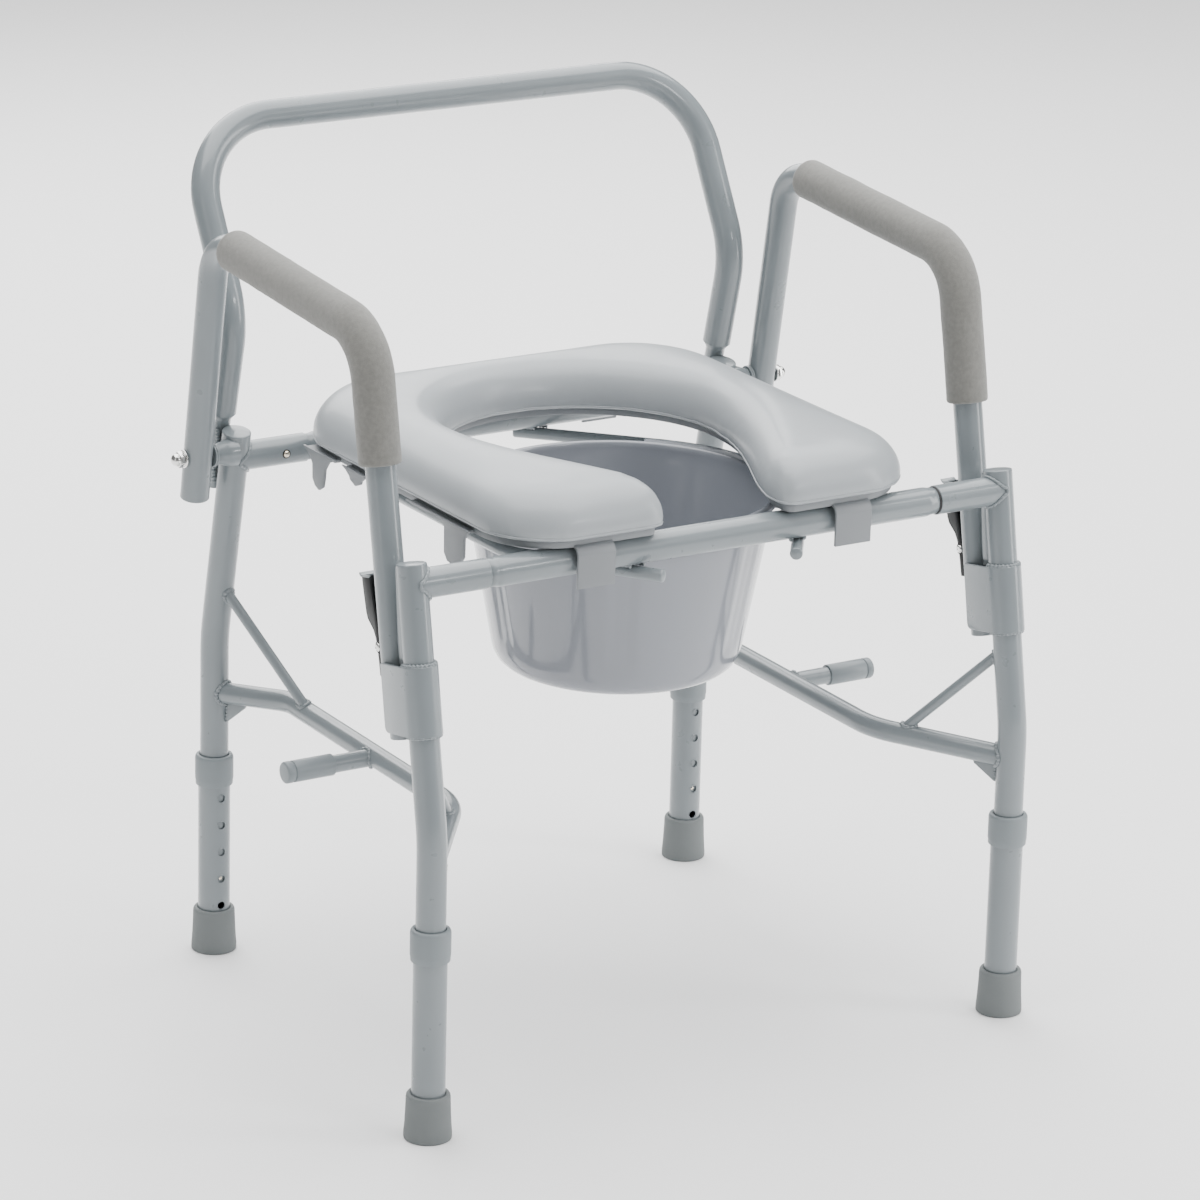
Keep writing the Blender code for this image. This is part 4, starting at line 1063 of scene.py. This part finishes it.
def build_rods():
    """The two rods that carry the pail, welded under the cross rails."""
    for tag, side in SIDES:
        corners = [
            (side * 65.0, 14.0, ROD_Z), (side * 148.0, 130.0, ROD_Z), (side * 148.0, 326.0, ROD_Z),
            (side * 40.0, 437.0, ROD_Z),
        ]
        Piece().tube(rounded(corners, [45.0, 45.0], 12), 5.5, sides=32, bevel=1.6, rise=0.8).make(
            "rod_" + tag, "frame_paint", "frame", ["pail_rod_" + tag])
        welds = Piece()
        points = [Vector(corner) for corner in corners]
        crossings = ((points[0], points[1], FRONT_RAIL_Y), (points[3], points[2], REAR_RAIL_Y))
        for start, end, rail_y in crossings:
            t = (rail_y - start.y) / (end.y - start.y)
            spot = start.lerp(end, t)
            step = (end - start).normalized()
            for off in (-6.5, 6.5):
                line = [spot + Vector((off, 0, 6.2)) + step * s for s in (-7, 0, 7)]
                welds.bead(line, 1.8, 0.3, closed=False)
        welds.make("rod_welds_" + tag, "frame_paint", "frame", angle=80)


for tag, side in SIDES:
    build_legs(tag, side)
    build_foot("front_" + tag, side * FRONT_X, FRONT_Y, 1)
    build_foot("rear_" + tag, side * REAR_X, REAR_Y, -1)
    build_stub("front", tag, side, FRONT_X, FRONT_RAIL_Y, FRONT_JOINT_X, 1, front_leg_y, LEAN_UP)
    build_stub("rear", tag, side, REAR_X, REAR_RAIL_Y, REAR_JOINT_X, -1, rear_leg_y, REAR_UP)
    build_brace(tag, side)
    build_latch_seat(tag, side)
    build_arm(tag, side)
    build_pivot(tag, side)
build_rail("front", FRONT_RAIL_Y, FRONT_JOINT_X)
build_rail("rear", REAR_RAIL_Y, REAR_JOINT_X)
build_back()
build_cushion()
build_board()
build_pail()
build_rods()


# ---------------------------------------------------------------- studio
def build_stage():
    """Pale floor, even world light and soft lamps."""
    floor_mesh = bpy.data.meshes.new("floor")
    floor_mesh.from_pydata([(-30, -30, 0), (30, -30, 0), (30, 30, 0), (-30, 30, 0)], [], [(0, 1, 2, 3)])
    floor = bpy.data.objects.new("floor", floor_mesh)
    bpy.context.scene.collection.objects.link(floor)
    mat, tree, shader = new_material("floor", (0.92, 0.92, 0.92), 0.7)
    mottle(tree, shader, (0.92, 0.92, 0.92), 0.6, 0.004)
    floor_mesh.materials.append(mat)
    world_light = bpy.data.worlds.new("studio")
    world_light.use_nodes = True
    back = world_light.node_tree.nodes["Background"]
    back.inputs["Color"].default_value = (1, 1, 1, 1)
    back.inputs["Strength"].default_value = 0.24
    bpy.context.scene.world = world_light
    lamps = (
        ("top", (0.5, 0.8, 4.2), 6.5, 6.5, 700.0),
        ("left", (-2.9, -0.9, 1.3), 0.5, 2.4, 7.0),
        ("right", (2.4, -1.9, 1.3), 0.7, 2.4, 44.0),
        ("back", (0.8, 3.2, 1.9), 2.6, 1.6, 60.0),
        ("front", (0.9, -3.2, 1.9), 1.2, 0.4, 26.0),
    )
    for name, place, wide, tall, power in lamps:
        light = bpy.data.lights.new(name, "AREA")
        light.shape = "RECTANGLE"
        light.size = wide
        light.size_y = tall
        light.energy = power
        lamp = bpy.data.objects.new(name, light)
        lamp.location = place
        lamp.rotation_mode = "QUATERNION"
        lamp.rotation_quaternion = (Vector((0, 0, 0.4)) - Vector(place)).to_track_quat("-Z", "Y")
        bpy.context.scene.collection.objects.link(lamp)


def build_camera():
    """The camera, placed from its bearing, height angle and roll."""
    az, el, roll = math.radians(-31.997), math.radians(18.105), math.radians(1.461)
    back = Vector((math.sin(az) * math.cos(el), -math.cos(az) * math.cos(el), math.sin(el)))
    right = Vector((0, 0, 1)).cross(back).normalized()
    up = back.cross(right)
    x_axis = right * math.cos(roll) + up * math.sin(roll)
    y_axis = up * math.cos(roll) - right * math.sin(roll)
    data = bpy.data.cameras.new("camera")
    data.lens = 162.66
    data.sensor_width = 36.0
    data.clip_start = 0.1
    data.clip_end = 100.0
    camera = bpy.data.objects.new("camera", data)
    turn = Matrix((x_axis, y_axis, back)).transposed().to_4x4()
    camera.matrix_world = Matrix.Translation((-2.3666, -3.8174, 1.8214)) @ turn
    bpy.context.scene.collection.objects.link(camera)
    bpy.context.scene.camera = camera


build_stage()
build_camera()
